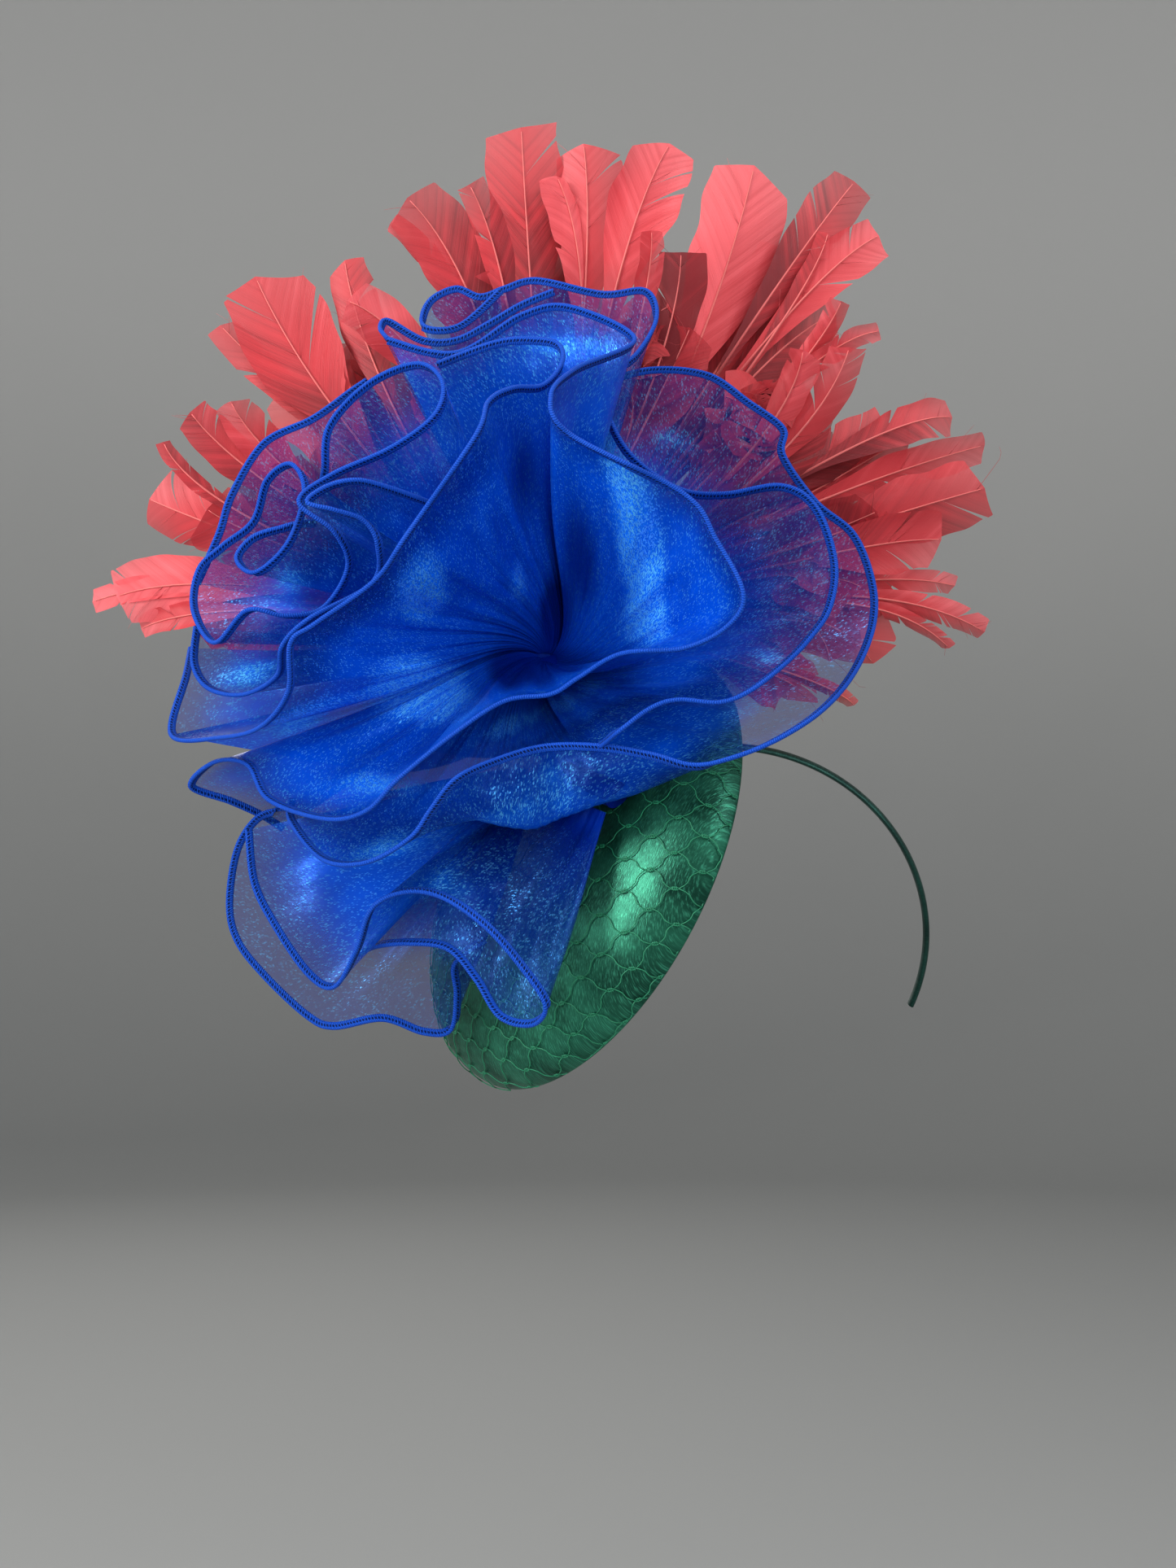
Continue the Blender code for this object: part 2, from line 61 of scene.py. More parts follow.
def smoothLine(rows, steps):   # a curve through every row
    rows = np.asarray(rows, float)
    ends = np.vstack([rows[:1], rows, rows[-1:]])
    line = []
    for i in range(len(rows) - 1):
        before, start, end, after = ends[i:i + 4]
        square, cube = 2 * before - 5 * start + 4 * end - after, 3 * start - before - 3 * end + after
        for t in np.arange(steps) / steps:
            line.append(0.5 * (2 * start + (end - before) * t + square * t ** 2 + cube * t ** 3))
    return np.array(line + [rows[-1]])


def lengths(line):   # how far along a line each of its points is
    return np.concatenate([[0], np.cumsum(np.linalg.norm(np.diff(line, axis=0), axis=1))])


def evenLine(line, spacing):   # the same line with points this far apart
    run = lengths(line)
    count = max(int(run[-1] / spacing), 4)
    at = np.linspace(0, run[-1], count + 1)
    return np.stack([np.interp(at, run, line[:, k]) for k in range(line.shape[1])], -1)


def ease(x):   # 0 below 0 and 1 above 1, with soft turns
    x = np.clip(x, 0, 1)
    return x * x * (3 - 2 * x)


def unit(vectors):
    return vectors / np.maximum(np.linalg.norm(vectors, axis=-1, keepdims=True), 1e-9)


def pairs(first, second):   # each value of one beside each value of the other
    return np.stack(np.broadcast_arrays(first, second), -1)


def coat(item, finish):
    item.data.materials.clear()
    item.data.materials.append(finish)


def finishPiece(item, finish, replaced=()):
    coat(item, finish)
    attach(item, "root")
    if replaced:
        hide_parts(*replaced)
    item.select_set(False)
    return item


class Shape:   # gathers the faces of one piece
    def __init__(self):
        self.points, self.faces, self.uv, self.marks = [], [], [], []
        self.count = 0

    def grid(self, points, uv, marks, closed=False, flip=False):
        rows, columns = points.shape[:2]
        index = self.count + np.arange(rows * columns).reshape(rows, columns)
        if closed:
            index = np.hstack([index, index[:, :1]])
        a, b, c, d = index[:-1, :-1], index[1:, :-1], index[1:, 1:], index[:-1, 1:]
        quads = np.stack([a, b, c, d] if not flip else [a, d, c, b], -1).reshape(-1, 4)
        self.faces.extend(quads.tolist())
        self.points.append(points.reshape(-1, 3))
        self.uv.append(np.broadcast_to(uv, (rows, columns, 2)).reshape(-1, 2))
        self.marks.append(np.broadcast_to(marks, (rows, columns, 3)).reshape(-1, 3))
        self.count += rows * columns

    def tube(self, rings, uv, marks, flip=False):   # closed rings with a face over each end
        first, sides = self.count, rings.shape[1]
        self.grid(rings, uv, marks, True, flip)
        for start, back in ((first, flip), (self.count - sides, not flip)):
            ring = list(range(start, start + sides))
            self.faces.append(ring[::-1] if back else ring)

    def piece(self, name, finish, replaced=()):
        mesh = bpy.data.meshes.new(name)
        mesh.from_pydata(np.vstack(self.points), [], self.faces)
        corners = np.zeros(len(mesh.loops), np.int32)
        mesh.loops.foreach_get("vertex_index", corners)
        layer = mesh.uv_layers.new(name="weave")
        layer.data.foreach_set("uv", np.vstack(self.uv)[corners].astype(np.float32).ravel())
        made = mesh.attributes.new("marks", "FLOAT_COLOR", "POINT")
        colours = np.hstack([np.vstack(self.marks), np.ones((self.count, 1))])
        made.data.foreach_set("color", colours.astype(np.float32).ravel())
        mesh.shade_smooth()
        mesh.validate()
        item = bpy.data.objects.new(name, mesh)
        scene.collection.objects.link(item)
        return finishPiece(item, finish, replaced)


def tubeRings(line, radius, sides):   # rings of a tube along a line
    along = unit(np.gradient(line, axis=0))
    side = np.zeros_like(line)
    side[0] = unit(np.cross(along[0], [0.3, 0.2, 0.93] if abs(along[0][2]) < 0.9 else [1, 0, 0]))
    for i in range(1, len(line)):
        side[i] = unit(side[i - 1] - along[i] * np.dot(side[i - 1], along[i]))
    over = np.cross(along, side)
    angles = np.arange(sides) / sides * turn
    out = side[:, None] * np.cos(angles)[None, :, None] + over[:, None] * np.sin(angles)[None, :, None]
    return line[:, None] + out * np.broadcast_to(radius, len(line))[:, None, None]


def addTube(shape, line, radius, sides, marks=(0, 0, 0)):
    uv = pairs(lengths(line)[:, None], np.arange(sides)[None] / sides)
    shape.tube(tubeRings(line, radius, sides), uv, marks, flip=True)


class Wire:   # a socket with arithmetic
    def __init__(self, paint, socket):
        self.paint, self.socket = paint, socket

    def __add__(self, other):
        return self.paint.maths("ADD", self, other)

    def __sub__(self, other):
        return self.paint.maths("SUBTRACT", self, other)

    def __rsub__(self, other):
        return self.paint.maths("SUBTRACT", other, self)

    def __mul__(self, other):
        return self.paint.maths("MULTIPLY", self, other)

    __radd__, __rmul__ = __add__, __mul__


class Paint:   # one material, with its shader and its nodes
    def __init__(self, name, **shader):
        self.material = bpy.data.materials.new(name)
        self.material.use_nodes = True
        self.tree = self.material.node_tree
        self.tree.nodes.clear()
        self.out = self.tree.nodes.new("ShaderNodeOutputMaterial")
        self.shader = self.tree.nodes.new("ShaderNodeBsdfPrincipled")
        self.tree.links.new(self.shader.outputs[0], self.out.inputs[0])
        self.use(**shader)

    def feed(self, socket, value):
        if isinstance(value, Wire):
            self.tree.links.new(value.socket, socket)
        else:
            socket.default_value = value

    def use(self, **sockets):
        for name, value in sockets.items():
            self.feed(self.shader.inputs[name], value)

    def node(self, kind, sockets=None, out=0, **settings):
        made = self.tree.nodes.new(kind)
        for name, value in settings.items():
            setattr(made, name, value)
        for name, value in (sockets or {}).items():
            self.feed(made.inputs[name], value)
        return Wire(self, made.outputs[out])

    def maths(self, kind, *values):
        return self.node("ShaderNodeMath", dict(enumerate(values)), operation=kind)

    def vectors(self, kind, *values):
        return self.node("ShaderNodeVectorMath", dict(enumerate(values)), operation=kind)

    def mix(self, factor, first, second):
        return self.node("ShaderNodeMix", {0: factor, 6: first, 7: second}, 2, data_type="RGBA")

    def between(self, value, low, high):   # 0 at low and 1 at high
        return self.node("ShaderNodeMapRange", {"Value": value, "From Min": low, "From Max": high},
                         interpolation_type="SMOOTHSTEP")

    def parts(self, kind, whole):   # a place or a colour taken apart
        return [Wire(self, part) for part in self.node(kind, {0: whole}).socket.node.outputs]

    def weave(self):   # the piece's own lengthways and crossways places, in metres
        both = self.node("ShaderNodeUVMap", uv_map="weave")
        return [both] + self.parts("ShaderNodeSeparateXYZ", both)[:2]

    def marks(self):   # the three numbers that a piece carries on its points
        carried = self.node("ShaderNodeAttribute", attribute_name="marks")
        return self.parts("ShaderNodeSeparateColor", carried)

    def place(self):   # the piece's own coordinates
        return self.node("ShaderNodeTexCoord", out=3)

    def join(self, x, y):
        return self.node("ShaderNodeCombineXYZ", {0: x, 1: y})

    def noise(self, place, scale, detail, rough):
        return self.node("ShaderNodeTexNoise",
                         dict(Vector=place, Scale=scale, Detail=detail, Roughness=rough))

    def finish(self, colour, height, distance, strength):   # with a bump of this height
        bump = self.node("ShaderNodeBump", dict(Height=height, Distance=distance, Strength=strength))
        self.use(**{"Base Color": colour, "Normal": bump})
        return self.material


print("chart and helpers ready")

# the flower's cloth; the folds below are across, up and forward of the throat, with a fourth number for sag
cloth = dict(
    knotRadius=14.0, gatheredTo=3.5, belly=12.0, bellyReach=150.0, sagForward=0.8, hemSpacing=1.15,
    hemSteps=14, rings=30, reliefFrom=10.0, reliefOver=24.0, gather=0.3, gatherLength=7.5, gatherDrift=17,
    gatherMark=26.0, wave=0.8, waveLength=23.0, waveDrift=(2.2, 41, 3.0), calmSag=60, spin=-1.1,
    spinOver=17.0, pleat=0.26, pleats=(14, 1.3, 5), finePleats=(31, 2, 3), fineShare=0.6, pleatTo=(95, 75),
    pleatFrom=25)
# soft swells and hollows that all the layers share: across, up, how wide and how long, leaning, mm forward
relief = [
    (31, 44, 9, 40, 6, 9), (10, 52, 7, 40, 4, -4), (62, 34, 12, 24, -25, -3), (-14, 60, 7, 30, 14, 6),
    (1, 72, 6, 30, -3, 5), (-38, -10, 20, 10, 14, 9), (-44, 14, 26, 9, 14, -5), (-50, 34, 9, 20, 38, 7),
    (-34, 72, 14, 10, 40, 5), (-7, 104, 26, 8, -4, 3), (74, -6, 14, 8, -20, 4), (76, 36, 14, 26, 15, 4),
    (58, 76, 18, 13, -30, 2), (-104, 2, 9, 16, 0, 3), (-80, 78, 9, 14, 40, 2), (16, 84, 9, 12, -20, 3),
    (-22, 44, 3.5, 15, 0, 4), (-12, 20, 3.5, 13, 31, 5), (-92, 28, 8, 12, 10, 3), (-62, -52, 34, 7, 20, 5),
    (20, -22, 30, 6, 6, 4), (-82, -88, 10, 18, -20, 4), (-20, -86, 12, 22, 14, 5), (-20, 20, 8, 18, 55, 5),
    (16, 12, 8, 16, -40, 4)
]
# where sheen is painted on the cloth or, with a strength below 0, shade is painted on it, in the same order
paintedSheenAndShade = [
    (28, 66, 7, 20, 14, 0.9), (36, 36, 11, 22, 6, 1), (37, 12, 11, 9, 0, 0.8), (-44, -12, 20, 12, 0, 1.3),
    (-45, 27, 11, 13, 0, 1), (-10, 27, 4, 12, 0, 0.6), (-4, -45, 26, 6, 15, 0.32),
    (-58, -70, 22, 6, 14, 0.6), (-109, -6, 14, 5, 12, 0.7), (-91, -22, 16, 6, 22, 0.8),
    (-84, -86, 14, 16, 0, -0.5), (6, 116, 24, 5, -4, 0.6), (48, 80, 12, 5, -25, 0.6),
    (82, 1, 8, 4, -15, 0.5), (-12, -24, 15, 4, 24, 0.8), (12, -13, 14, 4, 28, 0.7),
    (-94, 28, 10, 6, 0, 0.6), (-66, -46, 30, 5, 0, 0.6), (-8, -56, 24, 5, 15, 0.35),
    (-40, -84, 14, 8, 20, 0.5), (-80, 75, 8, 14, -40, 0.4), (72, -20, 20, 5, 25, 0.5),
    (-118, -20, 10, 6, 0, 0.4), (3, 16, 5, 12, 0, -1.4), (-13, -4, 11, 9, 0, -1.3),
    (13, 38, 9, 26, 4, -0.9), (-8, 68, 7, 22, 2, -0.7), (50, 24, 6, 14, 0, -0.6), (-20, 50, 5, 14, 4, -0.4),
    (56, 6, 14, 6, 10, -0.4), (-62, 44, 12, 10, 30, -0.5), (-2, -30, 30, 4, 18, -0.6),
    (70, 14, 10, 12, 0, -0.3), (-30, 86, 14, 10, 30, -0.4)
]
# each petal: its hem's length, depth and area when flat, in metres; how far out from the throat it turns
# sheer, and up to where it is dense; the folds of its hem
petals = {
    "front": ((0.54, 0.125, 0.027), (1.05, 0.85), [(-58, 118, 23), (-33, 113, 27), (-9, 127, 32),
        (9, 130, 38), (33, 118, 50), (11, 107, 72), (2, 97, 84), (9, 83, 86), (51, 61, 83), (63, 44, 84),
        (73, 24, 84), (67, 12, 84), (51, 4, 84), (28, 2, 84), (12, -7, 82), (2, -13, 81), (-15, -15.5, 80),
        (-33, -27, 80), (-54, -44, 78), (-66, -56, 74), (-81, -59, 67), (-102, -52, 53), (-110, -39, 42),
        (-122, -38, 34), (-131, -47, 26), (-116, -53, 18), (-105, -58, 12), (-97, -63, 7)]),
    "left": ((0.35, 0.125, 0.019), (1.0, 0.75), [(-40, 109, 38), (-18, 117, 45), (-4, 118, 49),
        (5, 116, 52), (6, 109, 57), (-1, 101, 62), (-12, 100, 73), (-21, 95, 80), (-26, 82, 86),
        (-51, 46, 79), (-63, 29, 78), (-85, 13, 84), (-94, 6, 84), (-95, -12, 76), (-105, -25, 67),
        (-120, -29, 56), (-138, -28, 39), (-133, -6, 21), (-131, 4, 8)]),
    "top": ((0.07, 0.125, 0.0037), (0.9, 0.6), [(-58, 118, 22), (-61, 122, 17), (-58, 125, 13),
        (-45, 118, 12), (-33, 118, 12), (-21, 124, 13), (-9, 131, 14), (3, 136, 16)]),
    "right": ((0.43, 0.125, 0.022), (0.85, 0.55), [(-17, 136, 1), (-32, 123, -1), (-45, 123, -3),
        (-43, 132, -7), (-33, 137, -8), (-24, 134, -8), (-15, 137, -8), (-3, 140, -6), (21, 135, -1),
        (37, 136, 5), (41, 126, 10), (34, 113, 17), (23, 104, 23), (22, 94, 26), (31, 76, 30), (49, 63, 36),
        (66, 61, 42), (87, 64, 47), (100, 56, 51), (107, 36, 55), (105, 19, 61), (97, 7, 66), (87, -3, 71),
        (75, -12, 76), (64, -16, 80), (49, -15, 82), (39, -18, 84), (28, -26, 88), (22, -31, 82),
        (15, -36, 72)]),
    "outer": ((0.47, 0.115, 0.025), (0.85, 0.55), [(20, 102, -10), (39, 107, -7), (60, 105, 0), (75, 95, 7),
        (88, 85, 13), (88, 75, 16), (100, 58, 21), (114, 46, 25), (121, 28, 33), (121, 12, 41),
        (114, -5, 56), (102, -19, 72, 3), (85, -30, 82, 8), (67, -37, 85, 17), (54, -39, 84, 25),
        (39, -35, 84, 34), (21, -32, 80, 40), (0, -32, 74, 44), (-18, -37, 78, 42), (-33, -44, 83, 35),
        (-42, -55, 80, 27), (-50, -66, 78, 18), (-66, -75, 76, 10), (-82, -74, 66, 4), (-94, -60, 47),
        (-94, -52, 37)]),
    "swirl": ((0.43, 0.12, 0.021), (0.95, 0.7), [(-84, 62, 27), (-82, 69, 32), (-80, 86, 36),
        (-65, 102, 42), (-47, 109, 48), (-38, 102, 54), (-41, 90, 57), (-57, 78, 58), (-79, 68, 57),
        (-91, 58, 63), (-78, 47, 60), (-73, 34, 52), (-82, 19, 51), (-96, 16, 56), (-110, 18, 60),
        (-122, 6, 52), (-130, 18, 42), (-128, 33, 34), (-119, 42, 32), (-108, 51, 32), (-103, 66, 35),
        (-94, 72, 40), (-89, 62, 44), (-95, 43, 50), (-107, 32, 50), (-114, 37, 46), (-108, 45, 43),
        (-96, 49, 43), (-90, 50.5, 41), (-85, 51, 38)]),
    "left_middle": ((0.23, 0.12, 0.0097), (0.95, 0.7), [(-43, 58, 65), (-57, 63, 74), (-69, 66, 80),
        (-80, 64, 82), (-88, 58, 86), (-78, 55, 84), (-67, 51, 77), (-62, 42, 72), (-64, 28, 65),
        (-87, 15, 73), (-97, 5, 70), (-99, -6, 60), (-111, -13, 50), (-124, -11, 43), (-130, -2, 36),
        (-129, 12, 31)]),
    "left_outer": ((0.105, 0.12, 0.0063), (0.7, 0.4), [(-66, 103, 7), (-72, 99, 8), (-86, 89, 11),
        (-104, 80, 13), (-116, 61, 15), (-121, 46, 17), (-129, 28, 19)])}
# cloth without a hem, behind: the fold that closes the left side below, and the throat's lining
linings = {
    "left_fold": ((0.12, 0.055, 0.0029), [(-138, -28, 38), (-122, -31, 33), (-100, -35, 27), (-78, -39, 21),
        (-57, -42, 15), (-40, -40, 10), (-28, -36, 6)]),
    "lining": ((0.145, 0.055, 0.0031), [(-60, -14, 6), (-48, -30, 5), (-30, -36, 4), (-8, -36, 4),
        (16, -34, 4), (38, -30, 5), (56, -22, 6), (66, -8, 8)])}
# the ruffles, the same way, with how far each follows the seam in the place of the sheerness
ruffles = {
    "back": ((0.18, 0.125, 0.0086), 0.0, [(-95, -55, 42), (-106, -58, 40), (-114, -70, 38), (-117, -90, 38),
        (-114, -104, 40), (-104, -117, 44), (-88, -132, 48), (-78, -136, 52), (-60, -133, 58),
        (-45, -138, 62), (-35, -137, 64), (-33, -124, 66), (-34, -114, 68), (-30, -109, 69),
        (-22, -104, 69)]),
    "front": ((0.27, 0.105, 0.0123), 1.0, [(-110, -63, 63), (-108, -82, 65), (-101, -97, 68),
        (-88, -116, 73), (-78, -121, 78), (-70, -108, 84), (-64, -92, 90), (-52, -86, 95), (-38, -88, 99),
        (-22, -99, 103), (-8, -115, 107), (0, -128, 108), (-5, -135, 103), (-17, -132, 97), (-26, -118, 91),
        (-36, -107, 85), (-50, -105, 80), (-62, -106, 74), (-69, -109, 70)])}
seam = dict(
    folds=[(2, -40, 60), (14, -45, 84), (26, -50, 102)], radius=5.0, gap=1.3, sewnFrom=-60, inside=0.2,
    steps=(8, 10), sides=28, lay=0.01, strands=3, groove=0.07, weave=0.0011)


def paintOrganza():
    look = dict(
        sheer=(0, 0.014, 0.17, 1), dense=(0, 0.062, 0.54, 1), spark=(0.1, 0.5, 1, 1),
        lit=(0.006, 0.18, 0.92, 1), deep=(0, 0.006, 0.13, 1), throat=(0, 0.008, 0.2, 1),
        thread=0.00034, streakWide=0.0004, streakLong=0.0009, rib=0.00105, open=0.42)
    paint = Paint("organza", **{"Roughness": 0.32, "IOR": 1.45, "Specular Tint": (0.15, 0.45, 1, 1)})
    both, along, inward = paint.weave()
    gather, dense, paintedLightMark = paint.marks()
    threads = paint.maths("SINE", along * (turn / look["thread"])) * 0.5 + 0.5
    rows = paint.maths("SINE", inward * (turn / look["thread"])) * 0.5 + 0.5
    slant = paint.join((along + inward) * (0.707 / look["streakWide"]),
                       (inward - along) * (0.707 / look["streakLong"]))
    cells = paint.node("ShaderNodeTexVoronoi", dict(Vector=slant, Scale=1.0), 1, voronoi_dimensions="2D")
    pick = paint.parts("ShaderNodeSeparateColor", cells)[0]
    patches = paint.noise(both, 110, 3, 0.6)
    soft = paint.noise(both, 45, 2, 0.5)
    # painted sheen: above 0 the painted mark makes the cloth lighter, more glinting and a little more opaque
    paintedSheen = paint.between(paintedLightMark + (soft - 0.5) * 0.9, 0.15, 0.85)
    # painted shade: below 0 the painted mark darkens the cloth towards the deep colour
    deep = paint.between(paintedLightMark, -0.15, -0.9)
    ribs = paint.maths("SINE", along * (turn / look["rib"]))
    glint = paint.between(pick * 1.2 + patches * 0.5 + paintedSheen * 0.45 + ribs * 0.08, 1.15, 1.6) * (1 - gather)
    tilt = paint.vectors("SUBTRACT", cells, (0.5, 0.5, 0.5))
    facing = paint.node("ShaderNodeNewGeometry", out=1)
    normal = paint.vectors("NORMALIZE", paint.vectors("MULTIPLY_ADD", tilt, paintedSheen * 0.24 + 0.12, facing))
    # thread colour goes from sheer to dense with the layering; the dense colour is also painted brighter,
    # standing for light on the many-layered front
    colour = paint.mix(dense * (0.75 + patches * 0.5), look["sheer"], look["dense"])
    # painted highlight: the lit colour laid on in the painted sheen
    colour = paint.mix(paintedSheen * 0.6, colour, look["lit"])
    # glint cells: tilted, more metallic thread that catches the lamps for real, with its colour also painted
    # bright as a painted glint, most in the painted sheen
    colour = paint.mix(glint * (0.55 + paintedSheen * 0.45), colour, look["spark"])
    colour = paint.mix(deep * 0.85, colour, look["deep"])
    # painted shade deep in the throat, where the cloth is most gathered
    colour = paint.mix(gather * 0.85, colour, look["throat"])
    alpha = look["open"] + dense * 0.45 + gather * 0.5 + glint * 0.14 + paintedSheen * 0.1 + (threads * rows) * 0.1
    paint.use(**{"Base Color": colour, "Metallic": 0.12 + glint * 0.45, "Normal": normal,
                 "Alpha": paint.maths("MINIMUM", alpha, 1.0)})
    return paint.material


def paintHem():
    look = dict(
        cord=(0, 0.024, 0.27, 1), paintedTwistLight=(0.012, 0.084, 0.52, 1), hole=(0, 0.004, 0.055, 1),
        pitch=0.00125, rope=0.0008, row=0.0007, rowWidth=0.00034, slant=0.5)
    paint = Paint("rolled_hem", **{"Roughness": 0.6, "Specular Tint": (0.2, 0.45, 1, 1)})
    both, along, inward = paint.weave()
    lay = along * (1 / look["rope"]) + inward * (0.5 / look["rope"])
    twist = paint.maths("SINE", lay * turn) * 0.5 + 0.5
    fuzz = paint.noise(both, 2600, 2, 0.6)
    step = paint.maths("FRACT", along * (1 / look["pitch"]) + inward * (look["slant"] / look["pitch"]))
    beside = paint.maths("ABSOLUTE", step - 0.5)
    off = paint.maths("ABSOLUTE", inward - look["row"])
    row = paint.between(off, look["rowWidth"] * 1.5, look["rowWidth"] * 0.7)
    hole = paint.between(beside, 0.36, 0.22) * row
    # painted highlight on the crests of the twisted cord, which the bump also raises; the hollows keep the
    # cord's darker colour
    colour = paint.mix(twist * 0.55 + fuzz * 0.45, look["cord"], look["paintedTwistLight"])
    colour = paint.mix(hole, colour, look["hole"])
    return paint.finish(colour, twist * 0.6 + fuzz * 0.35 - hole * 1.2, 0.00035, 0.9)


organza = paintOrganza()
hemFinish = paintHem()
hem = dict(bead=0.8, flange=2.0, flangeThick=0.22, beadPoints=7, beadOpen=2.3)


def hemProfile():   # inward and through the cloth, in millimetres
    angles = np.linspace(-hem["beadOpen"], hem["beadOpen"], hem["beadPoints"])
    bead = [(-hem["bead"] * math.cos(angle), hem["bead"] * math.sin(angle)) for angle in angles]
    return np.array(bead + [(hem["flange"], hem["flangeThick"]), (hem["flange"], -hem["flangeThick"])])


def addHem(grid, name):
    rim, inner = grid[:, -1], grid[:, -3]
    along = unit(np.gradient(rim, axis=0))
    inward = unit(inner - rim)
    inward = unit(inward - along * np.sum(inward * along, -1, keepdims=True))
    through = np.cross(along, inward)
    profile = hemProfile() * mm
    points = rim[:, None] + inward[:, None] * profile[None, :, :1] + through[:, None] * profile[None, :, 1:]
    run = lengths(rim)
    shape = Shape()
    shape.tube(points, pairs(run[:, None], profile[None, :, 0]), (0, 0, 0))
    return shape.piece(name, hemFinish)


def swells(rows, across, up):   # soft round hills added up
    total = np.zeros_like(across)
    for x, y, wide, long, lean, height in rows:
        c, s = math.cos(math.radians(lean)), math.sin(math.radians(lean))
        u = (across - x) * c + (up - y) * s
        v = (up - y) * c - (across - x) * s
        total += height * np.exp(-(u / wide) ** 2 - (v / long) ** 2)
    return total


def shared(across, up):   # how far forward the shared relief brings a place, in mm
    total = swells(relief, across, up)
    reach = np.hypot(across, up)
    bearing = np.arctan2(up, across)
    coarse, fine = (np.sin(bearing * count + sway * np.sin(bearing * times))
                    for count, sway, times in (cloth["pleats"], cloth["finePleats"]))
    end, over = cloth["pleatTo"]
    near = np.clip((end - reach) / over, 0, 1) ** 1.3 * np.clip(reach / cloth["pleatFrom"], 0, 1)
    total += cloth["pleat"] * (coarse + cloth["fineShare"] * fine) * near
    return total * np.clip((reach - cloth["reliefFrom"]) / cloth["reliefOver"], 0, 1)


def spun(place, way):   # the cloth turns like a rose towards the throat
    reach = np.hypot(place[..., 0], place[..., 1])
    angle = way * cloth["spin"] * np.exp(-reach / cloth["spinOver"])
    across = place[..., 0] * np.cos(angle) - place[..., 1] * np.sin(angle)
    up = place[..., 0] * np.sin(angle) + place[..., 1] * np.cos(angle)
    return np.stack([across, up, place[..., 2]], -1)


def clothGrid(roots, rims, sags, start, seed):
    dice = random.Random(seed)
    rims = spun(rims, -1)
    part = start[:, None] + (1 - start[:, None]) * np.linspace(0, 1, cloth["rings"] + 1)[None]
    place = roots[:, None] + (rims - roots)[:, None] * part[..., None]
    width = np.hypot(place[..., 0] - roots[:, None, 0], place[..., 1] - roots[:, None, 1])
    swell = np.clip((width - cloth["knotRadius"]) / (cloth["bellyReach"] - cloth["knotRadius"]), 0, 1)
    hang = sags[:, None] * np.sin(np.pi * part)
    place[..., 1] -= hang
    place[..., 2] += cloth["belly"] * np.sin(np.pi * swell) + cloth["sagForward"] * hang
    place[..., 2] += shared(place[..., 0], place[..., 1])
    place = spun(place, 1)
    grid, paintedLightMark = seen(place), swells(paintedSheenAndShade, place[..., 0], place[..., 1])
    normal = unit(np.cross(np.gradient(grid, axis=0), np.gradient(grid, axis=1)))
    run = lengths(rims)[:, None]
    phase = [dice.uniform(0, turn) for _ in range(2)]
    sway, swayLength, slant = cloth["waveDrift"]
    drift = sway * np.sin(run / swayLength + phase[0]) + slant * part
    wave = cloth["wave"] * np.sin(run * turn / cloth["waveLength"] + drift) * np.sin(np.pi * part) ** 1.5
    wave = wave * (1 - sags[:, None] / cloth["calmSag"])
    loose = 2 * np.sin(run / cloth["gatherDrift"] + phase[1])
    pinch = cloth["gather"] * np.sin(run * turn / cloth["gatherLength"] + loose)
    pinch = pinch * np.clip(1 - part, 0, 1) ** 1.2 * np.clip(part * 4, 0, 1)
    return grid + normal * ((wave + pinch) * mm)[..., None], part, run[:, 0], paintedLightMark


def makeCloth(label, size, roots, line, gap, seed, replaced=(), sheer=None):
    rims, sags = line[:, :3], line[:, 3]
    start = gap / np.linalg.norm(rims - roots, axis=1)
    grid, part, run, paintedLightMark = clothGrid(roots, rims, sags, start, seed)
    steps = np.linalg.norm(np.diff(grid, axis=1), axis=2)
    inner = np.cumsum(np.concatenate([np.zeros((len(grid), 1)), steps], 1), 1)
    # gather: how gathered the cloth is towards the throat; it makes the cloth denser and carries the painted
    # throat shade
    gather = np.clip(1.0 - inner * cloth["gatherMark"], 0, 1) ** 1.3
    dense = np.ones_like(part)
    if sheer:
        clear, full = (np.asarray(place)[..., None] for place in sheer)
        dense = ease((clear - part) / (clear - full))
    shape = Shape()
    shape.grid(grid, pairs(run[:, None] * mm, inner), np.stack([gather, dense, np.clip(paintedLightMark, -1, 1)], -1))
    item = shape.piece(label, organza, replaced)
    edge = [addHem(grid, label + "_hem")] if sheer else []
    wide, deep, area = size
    print("cloth", label, len(grid), "points along its hem")


def hemLine(folds):   # a hem through its folds, with the sag as fourth number
    rows = [tuple(fold) + (0,) * (4 - len(fold)) for fold in folds]
    return evenLine(smoothLine(rows, cloth["hemSteps"]), cloth["hemSpacing"])


def makePetals():
    def gathered(label, size, folds, seed, *more):
        line = hemLine(folds) + [*chart["middle"], 0]
        roots = np.broadcast_to(chart["middle"], (len(line), 3))
        makeCloth("organza_" + label, size, roots, line, cloth["gatheredTo"], seed, *more)

    for number, (label, (size, sheer, folds)) in enumerate(petals.items()):
        gathered(label, size, folds, number, ["petal_" + label], sheer)
    for number, (label, (size, folds)) in enumerate(linings.items()):
        gathered(label, size, folds, 30 + number)


def makeRuffles():
    line = smoothLine(seam["folds"], seam["steps"][0])
    for number, (label, (size, sewn, folds)) in enumerate(ruffles.items()):
        rim = hemLine(folds)
        at = sewn * (1 - np.clip(rim[:, 0] / seam["sewnFrom"], 0, 1)) * (len(line) - 1)
        roots = np.stack([np.interp(at, np.arange(len(line)), line[:, k]) for k in range(3)], -1)
        # both turn sheer nearer the seam than the petals do, most of all over the base
        clear = 1.0 - 0.72 * sewn * ease((rim[:, 0] + 72) / 35) - 0.2 * (1 - sewn)
        makeCloth("flounce_" + label, size, roots, rim, seam["radius"] + seam["gap"], 20 + number,
                  ["ruffle_" + label], (clear, clear - 0.25))


makePetals()
makeRuffles()
print("organza flower made")
